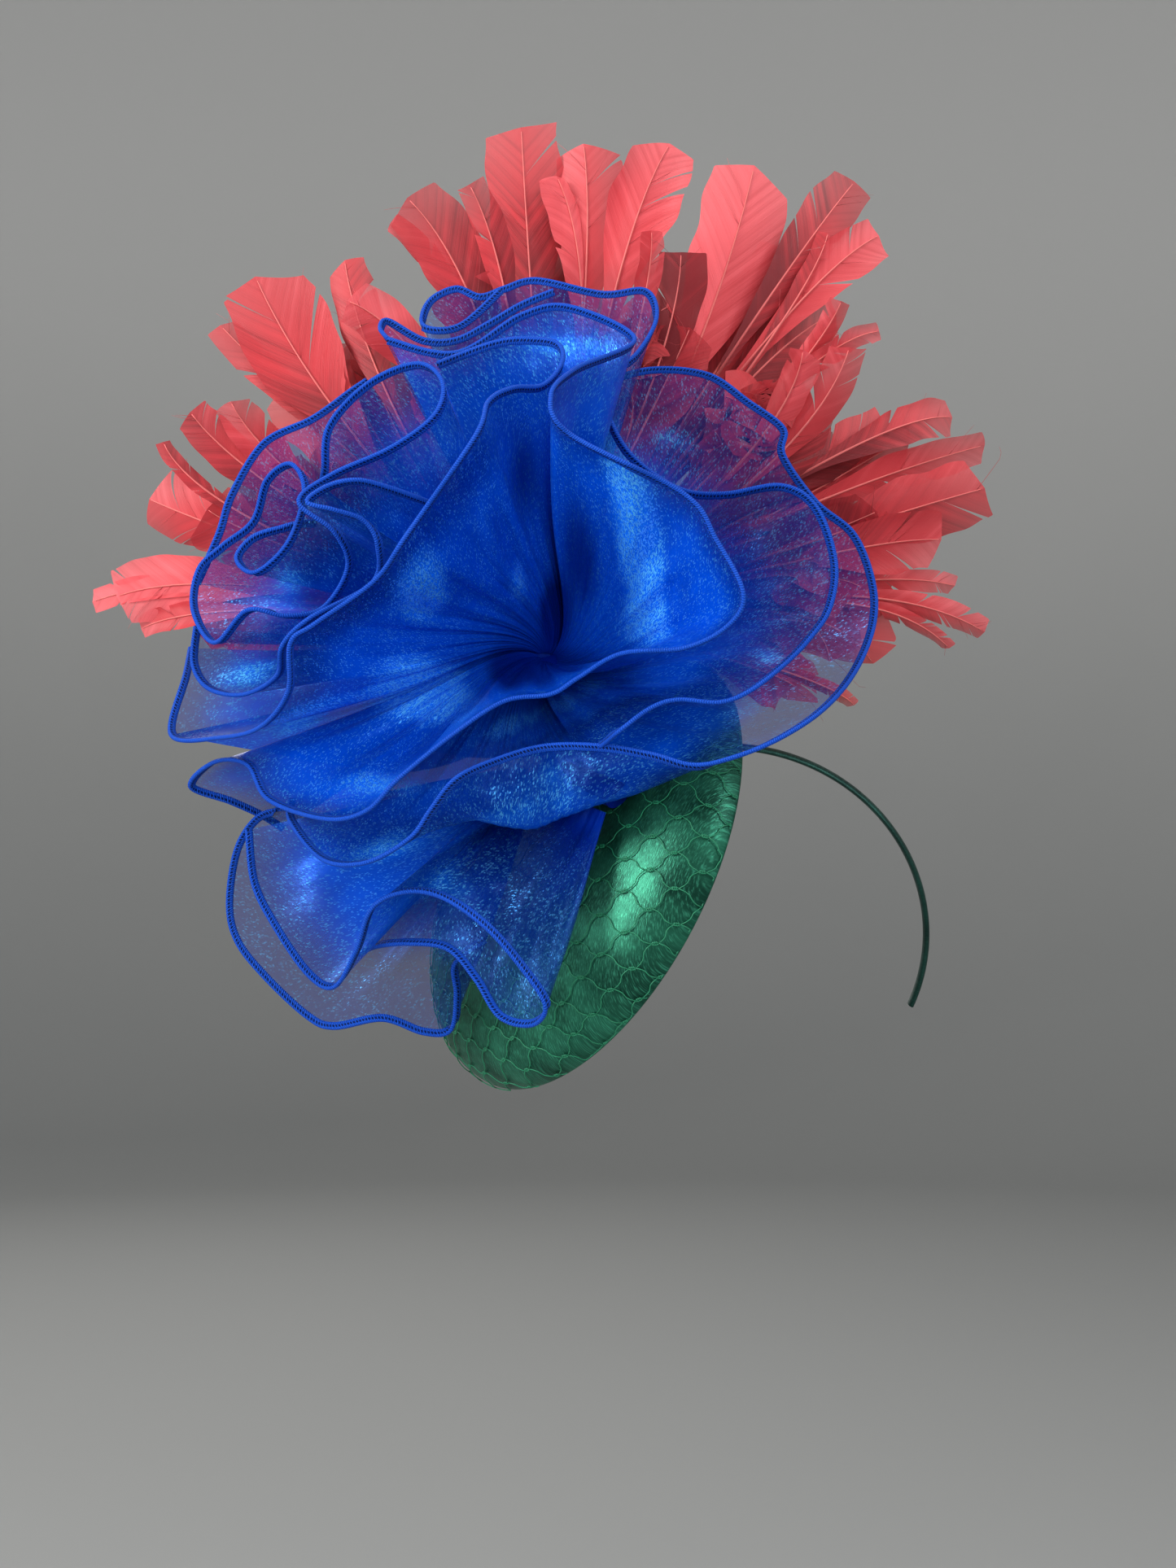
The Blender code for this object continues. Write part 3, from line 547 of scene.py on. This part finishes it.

# feathers: each spray's place forward, then its blades from back to front: middle and tip of the quill,
# width, slope of the cut end, curl, twist and tone; the tone is partly the feather's own colour, partly
# painted shade and light
blade = dict(
    lean=(-18, 10), step=1.7, bladeFrom=0.4, barb=1.55, columns=64, rows=7, cup=0.11, wider=1.12,
    neck=0.18, fullAt=0.62, tipFrom=0.8, tipOver=0.22, tipLoss=0.12, tightSide=0.92, narrowest=10,
    quill=(0.75, 0.16), quillRings=26, quillSides=6, wisps=3, wisp=(0.11, 0.04), wispRings=7, fillPaintedShade=0.16,
    fillBack=4.0, fillFrom=0.22, fillAt=(0.3, 0.75), fillWide=(18, 27), fillShort=(0.62, 0.88),
    fillInward=0.85)
sprays = {
    "left": (2, [(-129, 36, -167, 21, 9, 0.3, 2, 0.4, 0.9), (-123, 36, -158, 23, 23, -0.4, 5, 0.3, 0.9),
        (-122, 48, -146, 59, 23, 0.3, 3, -0.3, 0.55), (-126, 24, -149, 11, 9, -0.2, 2, 0.5, 0.6)]),
    "left_upper": (9, [(-129, 51, -141, 80, 6, 0.2, 0, 0.3, 0.35),
        (-111, 63, -131, 91, 15, -0.3, 3, 0.2, 0.45), (-102, 66, -116, 95, 15, 0.3, 4, -0.3, 0.6)]),
    "upper_left": (2, [(-84, 86, -120, 123, 12, 0.2, 2, 0.3, 0.4),
        (-68, 102, -74, 147, 15, -0.5, 2, -0.2, 0.35), (-83, 87, -107, 141, 32, 0.15, 4, 0.15, 0.45),
        (-81, 86, -84, 107, 18, 0.4, 3, -0.4, 0.5)]),
    "top_left": (10, [(-39, 119, -73, 132, 18, 0.3, 3, 0.3, 0.85),
        (-20, 137, -57, 161, 8, 0.2, 2, 0.2, 0.9), (-17, 137, -51, 170, 24, 0, 3, 0.2, 0.4),
        (-9, 141, -28, 175, 12, -0.2, 2, -0.3, 0.3)]),
    "top": (2, [(-6, 140, -9, 196, 27, -0.25, 2, 0.1, 0.36), (20, 144, 14, 190, 24, 0.1, 3, -0.1, 0.7),
        (24, 136, 4, 178, 14, 0.5, 8, 0.7, 0.95)]),
    "top_middle": (10, [(50, 113, 50, 150, 18, 0, 2, 0, -0.1), (23, 153, 46, 190, 24, -0.4, 4, -0.2, 0.8),
        (41, 131, 39, 158, 9, 0.3, 3, 0.4, 0.6)]),
    "top_right": (2, [(87, 144, 114, 176, 18, -0.3, 3, 0.2, 0.35),
        (62, 113, 77, 182, 30, 0.25, 4, 0.1, 1.00), (95, 144, 123, 156, 17, 0.2, 3, -0.3, 0.7),
        (99, 132, 104, 157, 8, 0.4, 3, 0.5, 0.5)]),
    "right_upper": (10, [(102, 111, 109, 132, 8, 0.2, 3, 0.3, 0.6),
        (96, 119, 123, 121, 9, 0.4, 5, 0.8, 0.95), (101, 75, 112, 115, 14, -0.3, 3, 0.2, 0.6),
        (92, 81, 95, 114, 12, 0.3, 3, -0.2, 0.7)]),
    "right": (2, [(94, 68, 125, 86, 17, 0.3, 2, 0.2, 0.25), (125, 93, 150, 89, 14, -0.2, 3, -0.3, 0.35),
        (104, 64, 162, 79, 14, 0.3, 5, 0.5, 0.6)]),
    "right_middle": (10, [(113, 50, 162, 63, 24, -0.2, 4, 0.2, 0.42),
        (114, 45, 146, 44, 21, 0.3, 4, -0.2, 0.55)]),
    "right_lower": (2, [(120, 36, 151, 27, 8, 0.3, 3, 0.3, 0.75), (120, 36, 162, 10, 9, -0.2, 4, 0.3, 0.6),
        (120, 35, 149, 4, 6, 0.2, 3, 0.4, 0.5), (101, -4, 114, -17, 5, 0.2, 1, 0.2, 0.3)])}
hub = dict(
    up=8.0, radius=12.0, thick=8.0, stub=14.0, layer=2.1, sunk=4.2, gap=0.6, stubEnds=(7, 2, -1.5),
    stubRadii=(1.8, 1.8, 1.7, 1.0), stubSides=10)


def paintFeather():
    look = dict(
        shade=(0.17, 0.013, 0.018, 1), body=(0.58, 0.04, 0.05, 1), light=(0.88, 0.125, 0.145, 1),
        shaft=(0.8, 0.17, 0.16, 1), barbs=1900.0, locks=190.0)
    paint = Paint("feather", Roughness=0.52)
    paint.use(**{"Sheen Weight": 0.3, "Sheen Roughness": 0.35, "Sheen Tint": (1.0, 0.6, 0.6, 1)})
    _, along, out = paint.weave()
    tone, shaft, tip = paint.marks()
    streaks = paint.noise(paint.join(along * look["barbs"], out * 26), 1, 3, 0.6)
    broad = paint.noise(paint.join(along * look["locks"], out * 10), 1, 2, 0.5)
    level = tone + (streaks - 0.5) * 0.6 + (broad - 0.5) * 0.75
    colour = paint.mix(paint.between(level, 0.0, 0.5), look["shade"], look["body"])
    colour = paint.mix(paint.between(level, 0.5, 1.15), colour, look["light"])
    colour = paint.mix(shaft, colour, look["shaft"])
    paint.use(Alpha=paint.maths("MINIMUM", 0.97 - tip * 0.48 + shaft, 1.0))
    glow = paint.node("ShaderNodeBsdfTranslucent", dict(Color=look["body"]))
    surface = Wire(paint, paint.shader.outputs[0])
    clear = paint.node("ShaderNodeMixShader", {0: 0.18, 1: surface, 2: glow})
    paint.tree.links.new(clear.socket, paint.out.inputs[0])
    return paint.finish(colour, streaks * (1 - shaft), 0.0004, 0.5)


def quillLine(root, middle, tip, places):
    p = places[..., None]
    return root * (1 - p) ** 2 + middle * 2 * p * (1 - p) + tip * p ** 2


def addFeather(shape, root, row, depth, lean, dice, first=blade["bladeFrom"]):
    middle, tip = np.array([*row[:2], depth], float), np.array([*row[2:4], depth + lean], float)
    width, slope, curl, twist, tone = row[4:]
    long = lengths(quillLine(root, middle, tip, np.linspace(0, 1, 60)))[-1]
    half, barb = width * blade["wider"] / 2, blade["barb"]
    paintedSideLight = dice.uniform(-0.16, 0.16)
    uneven = [dice.uniform(0, turn) for _ in range(3)]
    edgeCurl = dice.uniform(-1, 1) * 0.22 * width
    chevron, faint = dice.uniform(0.0, 0.55), dice.uniform(0.35, 1.0) * (1 if tone > 0.1 else 0.25)

    def outline(q, side):   # half width at each place along the blade
        u = (q - first) / (1 - first)
        wide = blade["neck"] + (1 - blade["neck"]) * ease(u / blade["fullAt"])
        wide = wide * (1 - blade["tipLoss"] * ease((u - blade["tipFrom"]) / blade["tipOver"]))
        wide = wide * (blade["tightSide"] if side > 0 else 1.0)
        return half * wide * (1 + 0.05 * np.sin(9 * u + uneven[0] + side) + 0.03 * np.sin(23 * u + uneven[1]))

    def place(q, y, side, lift):
        q = np.clip(q, 0, 1.1)
        centre = quillLine(root, middle, tip, q)
        along = unit((middle - root) * (1 - q[..., None]) + (tip - middle) * q[..., None])
        flat = unit(np.cross([0, 0, 1], along))
        over = np.cross(along, flat)
        u = np.clip((q - first) / (1 - first), 0, 1)
        angle = (twist * (0.25 + 0.75 * u))[..., None]
        turned = flat * np.cos(angle) + over * np.sin(angle)
        face = np.cross(along, turned)
        forward = (curl * u ** 2.5)[..., None] * [0, 0, 1]
        return centre + turned * (side * y)[..., None] + face * lift[..., None] + forward

    for side in (-1, 1):
        splits = dice.randint(0, 2) + (2 if width < blade["narrowest"] else 0)
        edges = [first] + sorted(dice.uniform(first + 0.25, 0.93) for _ in range(splits)) + [1.0]
        for a, b in zip(edges, edges[1:]):
            steps = max(int((b - a) * blade["columns"] / (1 - first)), 2)
            p = np.linspace(a, b, steps + 1)
            t = np.linspace(0, 1, blade["rows"] + 1)
            reach = outline(p, side)
            for _ in range(5):
                reach = outline(p + reach * barb / long, side)
            reach = np.minimum(reach, (1 - p) * long / max(barb - side * slope + chevron, 0.35))
            y = reach[:, None] * t[None]
            share = y / max(half, 1)
            middlePart = (a + b) / 2
            narrow = 1 - dice.uniform(0.02, 0.16) * share ** 2
            shear = dice.uniform(-0.008, 0.014)
            rise = dice.uniform(-0.7, 0.7)
            q = middlePart + (p[:, None] - middlePart) * narrow + y * barb / long + shear * share ** 1.5
            lift = (-blade["cup"] * width * (0.7 * share + 0.3 * share ** 2) + rise * share ** 1.5
                    + edgeCurl * share ** 3 + 0.5 * share ** 2 * np.sin(31 * q + uneven[2])
                    + width * 0.055 * share * np.sin(12 * q + uneven[0] + side))
            points = place(q, y, side, lift)
            uv = pairs(p[:, None] * long * mm, y * mm)
            fade = ease((q - 0.72) / 0.26) * faint * (0.6 + 0.4 * share)
            along = (q - first) / (1 - first)
            # painted light and shade: one side of the shaft lighter and the other darker, as if the blade
            # folded at the shaft; the tone also rises towards the tip
            local = tone - 0.3 + 0.42 * along + dice.uniform(-0.06, 0.06) + side * paintedSideLight
            marks = np.stack([np.clip(local, 0, 1), np.zeros_like(y), fade], -1)
            shape.grid(seen(points), uv, marks, flip=side < 0)
    q = np.linspace(0, 0.985, blade["quillRings"])
    quill = place(q, 0 * q, 1, 0 * q + 0.25)
    quill[0] = root
    # the shaft turns pale from the blade on; towards the root the quill is darkened, painted shade where it
    # lies under the flower
    pale = 0.1 + 0.9 * ease((q - first * 0.8) / 0.25)
    addTube(shape, seen(quill), np.linspace(*blade["quill"], len(q)) * mm, blade["quillSides"],
            np.stack([tone * pale, pale, 0 * q], -1)[:, None])
    for _ in range(blade["wisps"]):   # loose barbs
        side = dice.choice((-1, 1))
        at = dice.uniform(first + 0.12, 0.98)
        reach = dice.uniform(0.6, 1.15) * half
        t = np.linspace(0, 1, blade["wispRings"])
        q = at + t * reach * (barb + dice.uniform(-0.5, 0.6)) / long
        wisp = place(q, t * reach, side, dice.uniform(-2.5, 2.5) * t ** 2)
        addTube(shape, seen(wisp), np.linspace(*blade["wisp"], len(t)) * mm, 3, (tone, 0.1, 0))


def makeFeathers():
    finish = paintFeather()
    centre = chart["middle"] + [0, hub["up"], -cloth["knotRadius"] - hub["thick"] / 2]
    for number, (label, (forward, rows)) in enumerate(sprays.items()):
        dice = random.Random(40 + number)
        shape = Shape()
        mean = np.mean([(row[0], row[1], centre[2]) for row in rows], axis=0)
        out = unit(mean - centre)
        inFront = int(forward > centre[2] / 2)
        layer = hub["layer"] if inFront else -hub["layer"]
        end = centre + [0, 0, layer] + out * (hub["radius"] + hub["gap"] + hub["stub"])
        root = end - out * hub["sunk"]
        beside = list(zip(rows, rows[1:])) + [(rows[0], rows[0]), (rows[-1], rows[-1])]
        # the blades behind are darkened by painted shade
        for first, second in beside:   # darker blades behind, between the charted ones
            for share in blade["fillAt"]:
                mixed = [a * (1 - share) + b * share for a, b in zip(first, second)]
                short = dice.uniform(*blade["fillShort"])
                turned = dice.uniform(-0.1, 0.1)
                mixed[2:4] = [(mixed[2] - mixed[3] * turned) * short, (mixed[3] + mixed[2] * turned) * short]
                mixed[:2] = [place * blade["fillInward"] for place in mixed[:2]]
                mixed[4] = dice.uniform(*blade["fillWide"])
                mixed[8] = blade["fillPaintedShade"] + dice.uniform(0, 0.3)
                back = forward - blade["fillBack"] * (1 + share)
                addFeather(shape, root, mixed, back, blade["lean"][inFront], dice, blade["fillFrom"])
        for order, row in enumerate(rows):
            addFeather(shape, root, row, forward + order * blade["step"], blade["lean"][inFront], dice)
        stub = np.array([end - out * back for back in (hub["stub"],) + hub["stubEnds"]])
        addTube(shape, seen(stub), np.array(hub["stubRadii"]) * mm, hub["stubSides"], (0.1, 0.0, 0))
        shape.piece("plumes_" + label, finish, ["feathers_" + label])
    print("feathers made")


makeFeathers()

# base, veiling and band, in the base's own frame: Z out of the crown
base = dict(
    centre=Vector((-0.052, -0.038, -0.042)), normal=Vector((-0.79, -0.445, 0.42)).normalized(),
    radius=0.083, height=0.029, wall=0.0025, shoulder=2.6, crown=2.2, sides=144, bands=40, lip=-0.0015,
    rimRound=0.0008, soft=math.radians(40))
baseFrame = Matrix.Translation(base["centre"]) @ base["normal"].to_track_quat("Z", "Y").to_matrix().to_4x4()
baseTurn = np.array(baseFrame)[:3, :3]
baseMove = np.array(baseFrame)[:3, 3]


def domeProfile(radius, height, count):
    share = np.sin(np.pi / 2 * np.arange(count + 1) / count) ** (2 / base["shoulder"])
    rise = np.clip(1 - share ** base["shoulder"], 0, 1) ** (1 / base["crown"])
    return np.stack([radius * share, height * rise], -1)


def fromBase(points):
    return points @ baseTurn.T + baseMove


def paintSatin(name, dark, body, light, grain):
    paint = Paint(name, Metallic=0.78, IOR=1.5)
    both, along, across = paint.weave()
    threads = paint.noise(paint.join(along * grain, across * grain * 0.12), 1, 2, 0.6)
    cloudy = paint.noise(both, 60, 3, 0.55)
    colour = paint.mix(paint.between(cloudy, 0.3, 0.7), dark, body)
    colour = paint.mix(paint.between(threads, 0.45, 0.75) * 0.5, colour, light)
    paint.use(Roughness=0.38 + threads * 0.12)
    return paint.finish(colour, threads * 0.5 + cloudy * 0.6, 0.0004, 0.6)


def editNew(name):   # name the piece just added and open it
    item = bpy.context.object
    item.name = item.data.name = name
    bpy.ops.object.mode_set(mode="EDIT")
    bpy.ops.mesh.select_all(action="SELECT")
    return item


def drawSection(name, points):   # an edge through these points, drawn on from one corner
    bpy.ops.mesh.primitive_plane_add(size=0.01)
    item = editNew(name)
    bpy.ops.mesh.merge(type="CENTER")
    bpy.ops.transform.translate(value=points[0])
    for before, after in zip(points, points[1:]):
        step = [float(b - a) for a, b in zip(before, after)]
        bpy.ops.mesh.extrude_region_move(TRANSFORM_OT_translate={"value": step})
    return item


def spinSection(steps, angle=turn, axis=(0, 0, 1), inside=False):   # seam and poles are closed on the way
    bpy.ops.mesh.select_all(action="SELECT")
    bpy.ops.mesh.spin(steps=steps, angle=angle, center=(0, 0, 0), axis=axis)
    bpy.ops.mesh.select_all(action="SELECT")
    bpy.ops.mesh.remove_doubles(threshold=0.00002)
    bpy.ops.mesh.normals_make_consistent(inside=inside)
    bpy.ops.object.mode_set(mode="OBJECT")


def settle(item, place, weave):   # lay the weave on a piece, then set it in its place
    layers = item.data.uv_layers
    layers.active = layers.get("weave") or layers.new(name="weave")
    for corner in item.data.loops:
        layers.active.data[corner.index].uv = weave(*item.data.vertices[corner.vertex_index].co)
    item.matrix_world = place
    bpy.ops.object.transform_apply(location=True, rotation=True, scale=True)
    bpy.ops.object.shade_smooth_by_angle(angle=base["soft"])


def makeBase():
    look = dict(dark=(0.006, 0.06, 0.038, 1), body=(0.024, 0.185, 0.112, 1), light=(0.09, 0.56, 0.35, 1))
    outer = domeProfile(base["radius"], base["height"], base["bands"])
    section = [(0, 0, base["height"]), *((r, 0, z) for r, z in outer[1:]), (base["radius"], 0, base["lip"])]
    dome = drawSection("satin_dome", section)
    spinSection(base["sides"])
    shell = dome.modifiers.new("wall", "SOLIDIFY")
    shell.thickness, shell.offset = base["wall"], -1
    bpy.ops.object.modifier_apply(modifier="wall")
    rim = dome.modifiers.new("rim", "BEVEL")
    rim.width, rim.segments, rim.angle_limit = base["rimRound"], 3, math.radians(60)
    bpy.ops.object.modifier_apply(modifier="rim")
    settle(dome, baseFrame, lambda x, y, z: (x, y))
    finishPiece(dome, paintSatin("satin", grain=3600.0, **look), ["percher_base"])


net = dict(
    acrossStep=9.6, upStep=12.6, link=2.6, radius=0.19, sides=5, lift=0.7, turned=0.35,
    uneven=(0.9, 0.8, 0.15), beside=0.45, wraps=3, wrap=(0.15, 0.75), wrapSides=4, over=(4, 3), steps=7,
    bend=0.12)


def makeNet():
    paint = Paint("veiling", Roughness=0.5)
    _, along, across = paint.weave()
    tone = paint.noise(paint.join(along * 900, across * 3), 1, 2, 0.5)
    colour = paint.mix(tone, (0.006, 0.09, 0.046, 1), (0.018, 0.24, 0.118, 1))
    finish = paint.finish(colour, tone, 0.0001, 0.6)
    profile = domeProfile(base["radius"] + net["lift"] * mm, base["height"] + net["lift"] * mm, 200)
    run = lengths(profile)
    limit = run[-1] / mm
    dice = random.Random(9)

    def onDome(flat):   # millimetres over the dome, measured from its crown
        flat = np.asarray(flat, float)
        reach = np.minimum(np.hypot(flat[:, 0], flat[:, 1]), limit)
        bearing = np.arctan2(flat[:, 1], flat[:, 0]) + net["turned"]
        out = np.interp(reach * mm, run, profile[:, 0])
        rise = np.interp(reach * mm, run, profile[:, 1])
        return fromBase(np.stack([out * np.cos(bearing), out * np.sin(bearing), rise], -1))

    shape = Shape()
    columns, rows = (int(limit / net[step]) + 2 for step in ("acrossStep", "upStep"))
    knots = {}
    for i in range(-columns, columns + 1):
        for j in range(-rows, rows + 1):
            offX, offY, tilt = (dice.uniform(-most, most) for most in net["uneven"])
            knots[i, j] = (i * net["acrossStep"] + offX, (j + 0.5 * (i % 2)) * net["upStep"] + offY, tilt)
    for (i, j), (x, y, tilt) in knots.items():
        if math.hypot(x, y) > limit + net["over"][0]:
            continue
        link = net["link"] / 2
        ends = np.array([(x - link, y - link * tilt), (x + link, y + link * tilt)])
        for shift in (-net["beside"], net["beside"]):
            line = np.linspace(ends[0], ends[1], 4) + [0, shift]
            line[[0, -1], 1] -= shift * 0.6
            addTube(shape, onDome(line), net["radius"] * mm, net["sides"])
        for k in range(net["wraps"]):
            middle = ends[0] + (ends[1] - ends[0]) * (k + 1) / (net["wraps"] + 1)
            slant, half = net["wrap"]
            line = np.array([middle + (slant, -half), middle, middle + (-slant, half)])
            addTube(shape, onDome(line), net["radius"] * 0.9 * mm, net["wrapSides"])
        for dj in (0, 1):
            nextKnot = (i + 1, j + dj - (0 if i % 2 else 1))
            if nextKnot not in knots:
                continue
            u, v, _ = knots[nextKnot]
            start, end = ends[1], np.array([u - link, v])
            if min(np.hypot(*start), np.hypot(*end)) > limit:
                continue
            t = np.linspace(0, 1, net["steps"])[:, None]
            bend = (end - start) * [net["bend"], 0]
            line = start * (1 - t) + end * t + bend * np.sin(t * turn)
            keep = np.hypot(line[:, 0], line[:, 1]) <= limit + net["over"][1]
            if keep.sum() > 2:
                addTube(shape, onDome(line[keep]), net["radius"] * mm, net["sides"])
    shape.piece("veil_strands", finish, ["veil_net"])
    print("base and veiling made", shape.count)


band = dict(
    halfWidth=0.0755, height=0.069, width=0.006, thick=0.0025, below=math.radians(22), sweepBack=0.018,
    steps=150, corners=16)


def makeBand():   # a flattened circle spun over the head, then leant back
    look = dict(dark=(0.008, 0.03, 0.026, 1), body=(0.016, 0.07, 0.056, 1), light=(0.06, 0.2, 0.15, 1))
    reach = band["halfWidth"]
    tall = math.hypot(band["height"], band["sweepBack"])
    bpy.ops.mesh.primitive_circle_add(vertices=band["corners"], radius=band["thick"] / 2, fill_type="NGON")
    item = editNew("wrapped_band")
    bpy.ops.transform.resize(value=(1, band["width"] / band["thick"], 1), center_override=(0, 0, 0))
    bpy.ops.transform.translate(value=(reach, 0, 0))
    spinSection(band["steps"], math.pi + 2 * band["below"], (0, 1, 0))
    leant = Matrix.Rotation(math.atan2(band["sweepBack"], band["height"]), 4, "X")
    oval = Matrix.Diagonal((1, 1, tall / reach, 1))
    top = Matrix.Translation((0, band["sweepBack"], band["thick"] / 2 - band["height"]))
    place = top @ leant @ oval @ Matrix.Rotation(band["below"], 4, "Y")
    settle(item, place, lambda x, y, z: ((math.atan2(z, x) + 0.1) % turn * reach, y))
    finishPiece(item, paintSatin("band_satin", grain=3000.0, **look), ["headband"])


makeBase()
makeNet()
makeBand()

# hidden pieces: the flower's heart, the rolled seam, the hub and the strap
heart = dict(
    radius=13.0, folds=9, depth=0.16, flat=0.92, front=0.12, sides=96, rings=36, pole=0.02, weave=0.012,
    stem=0.006, stemSides=16, footOut=0.75, footUp=0.93)


def paintHub():   # gathered cloth under the feathers, on its own coordinates
    paint = Paint("hub_cloth", Roughness=0.6)
    place = paint.place()
    x, y, z = paint.parts("ShaderNodeSeparateXYZ", place)
    threads = (paint.maths("SINE", (x + z) * 7000.0) + paint.maths("SINE", (z - x + y) * 7000.0)) * 0.25 + 0.5
    folds = paint.noise(place, 160, 3, 0.6)
    colour = paint.mix(paint.between(folds, 0.35, 0.65), (0, 0.008, 0.12, 1), (0, 0.035, 0.34, 1))
    return paint.finish(colour, folds * 0.8 + threads * 0.2, 0.0006, 0.7)


def paintStrap():   # narrow satin ribbon
    paint = Paint("strap_satin", Roughness=0.38, Metallic=0.5)
    place = paint.place()
    ribs = paint.noise(place, 900, 2, 0.5)
    cloudy = paint.noise(place, 120, 3, 0.5)
    colour = paint.mix(paint.between(cloudy, 0.35, 0.65), (0.01, 0.045, 0.035, 1), (0.025, 0.11, 0.08, 1))
    return paint.finish(colour, ribs, 0.0002, 0.6)


def makeHeart():
    sides, rings = heart["sides"], heart["rings"]
    around = np.arange(sides) / sides * turn
    down = np.linspace(heart["pole"], math.pi - heart["pole"], rings)[:, None]
    fold = 1 + heart["depth"] * (np.abs(np.sin(around * heart["folds"] / 2 + 0.6 * np.sin(3 * around))) - 0.5)
    ball = np.stack([np.sin(down) * np.cos(around) * fold, np.sin(down) * np.sin(around) * fold,
                     np.broadcast_to(np.cos(down), (rings, sides)) * heart["flat"]], -1) * heart["radius"]
    ball[..., 2] *= np.where(ball[..., 2] > 0, heart["front"], 1.0)
    shape = Shape()
    uv = pairs(around[None] * heart["weave"], down * heart["weave"])
    # marked fully gathered, so the heart takes the painted throat shade
    shape.tube(seen(ball + chart["middle"]), uv, (1, 0, 0))
    centre = seen(chart["middle"])
    inside = baseTurn.T @ (centre - baseMove)
    foot = fromBase(np.array([*inside[:2] * heart["footOut"], base["height"] * heart["footUp"]]))
    addTube(shape, np.linspace(centre, foot, 6), heart["stem"], heart["stemSides"], (1, 0, 0))
    shape.piece("gathered_heart", organza, ["flower_knot"])


def makeSeam():
    line = seen(smoothLine(seam["folds"], seam["steps"][1]))
    run, middle, corners = lengths(line)[:, None], line[:, None], np.arange(seam["sides"])[None]
    rings = tubeRings(line, (seam["radius"] - seam["inside"]) * mm, seam["sides"])
    swirl = corners / seam["sides"] * turn + run / seam["lay"] * turn
    groove = 1 - seam["groove"] + seam["groove"] * np.sin(swirl * seam["strands"])
    rings = middle + (rings - middle) * groove[..., None]
    shape = Shape()
    # marked fully gathered, so the seam is opaque and takes the painted throat shade
    shape.tube(rings, pairs(run, corners * seam["weave"]), (1, 0, 0), flip=True)
    shape.piece("rolled_seam", organza, ["ruffle_seam"])


makeHeart()
makeSeam()
for node, finish in (("feather_hub", paintHub()), ("band_strap", paintStrap())):
    coat(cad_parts[node], finish)
print("hidden pieces made")

# studio: a pale floor that rises into a round wall, darker low down by painted shade, soft lights and the
# camera
studio = dict(
    floor=-0.42, radius=2.6, bend=0.8, bendSteps=18, wall=2.6, sides=96, paleAt=0.9,
    pale=(0.5, 0.5, 0.49, 1), low=(0.25, 0.255, 0.25, 1), target=Vector((-0.06, -0.03, 0.03)),
    air=(0.75, 0.77, 0.8, 1), airStrength=0.3)


def makeStage():
    bend = np.linspace(0, math.pi / 2, studio["bendSteps"])
    low, wide, curve = studio["floor"], studio["radius"], studio["bend"]
    section = [(r, 0, low) for r in (0.0, 0.6, 1.2)]
    section += [(wide - curve * (1 - math.sin(a)), 0, low + curve * (1 - math.cos(a))) for a in bend]
    section.append((wide, 0, low + studio["wall"]))
    floor = drawSection("floor", section)
    spinSection(studio["sides"], inside=True)
    if floor.data.polygons[0].normal.z < 0:
        floor.data.flip_normals()
    bpy.ops.object.shade_smooth()
    paint = Paint("pale_floor", Roughness=0.9)
    place = paint.place()
    height = paint.parts("ShaderNodeSeparateXYZ", place)[2]
    # painted shade: the floor and the foot of the wall are darker than the wall higher up
    rise = paint.between(height + paint.noise(place, 3, 3, 0.5) * 0.1, studio["floor"], studio["paleAt"])
    paint.use(**{"Base Color": paint.mix(rise, studio["low"], studio["pale"])})
    coat(floor, paint.material)
    floor.select_set(False)


lamps = [
    # name, place, size, watts, colour, whether it shows in gloss
    ("key", (-1.45, -0.75, 0.75), 0.75, 29, (1, 0.985, 0.97), True),
    ("right", (1.15, -0.75, 0.95), 0.55, 10, (0.97, 0.98, 1), True),
    ("fill", (0.35, -1.8, 0.35), 1.2, 20, (0.97, 0.98, 1), False),
    ("top", (0, -0.25, 1.5), 0.7, 10, (1, 1, 1), True),
    ("low", (-1.05, -0.95, -0.33), 0.5, 11, (1, 1, 1), False),
    ("back", (-0.6, 1.4, 0.7), 0.9, 8, (1, 0.97, 0.94), True),
]


def makeLights():
    for name, place, size, watts, colour, gloss in lamps:
        data = bpy.data.lights.new(name, "AREA")
        data.shape, data.size, data.energy, data.color = "DISK", size, watts, colour
        lamp = bpy.data.objects.new(name, data)
        scene.collection.objects.link(lamp)
        lamp.location = place
        lamp.rotation_euler = (studio["target"] - Vector(place)).to_track_quat("-Z", "Y").to_euler()
        lamp.visible_camera, lamp.visible_glossy = False, gloss
    world = bpy.data.worlds.new("studio")
    world.use_nodes = True
    air = world.node_tree.nodes["Background"].inputs
    air[0].default_value, air[1].default_value = studio["air"], studio["airStrength"]
    scene.world = world


def makeCamera():
    photo = dict(tall=1927, focal=3333, sensor=36.0)
    data = bpy.data.cameras.new("camera")
    data.sensor_width = photo["sensor"]
    data.lens = photo["focal"] / photo["tall"] * photo["sensor"]
    camera = bpy.data.objects.new("camera", data)
    scene.collection.objects.link(camera)
    camera.location = chart["eye"]
    camera.rotation_euler = (math.pi / 2, 0, 0)
    scene.camera = camera


makeStage()
makeLights()
makeCamera()
scene.view_settings.view_transform = "Standard"
scene.cycles.transparent_max_bounces = 24
print("studio ready")
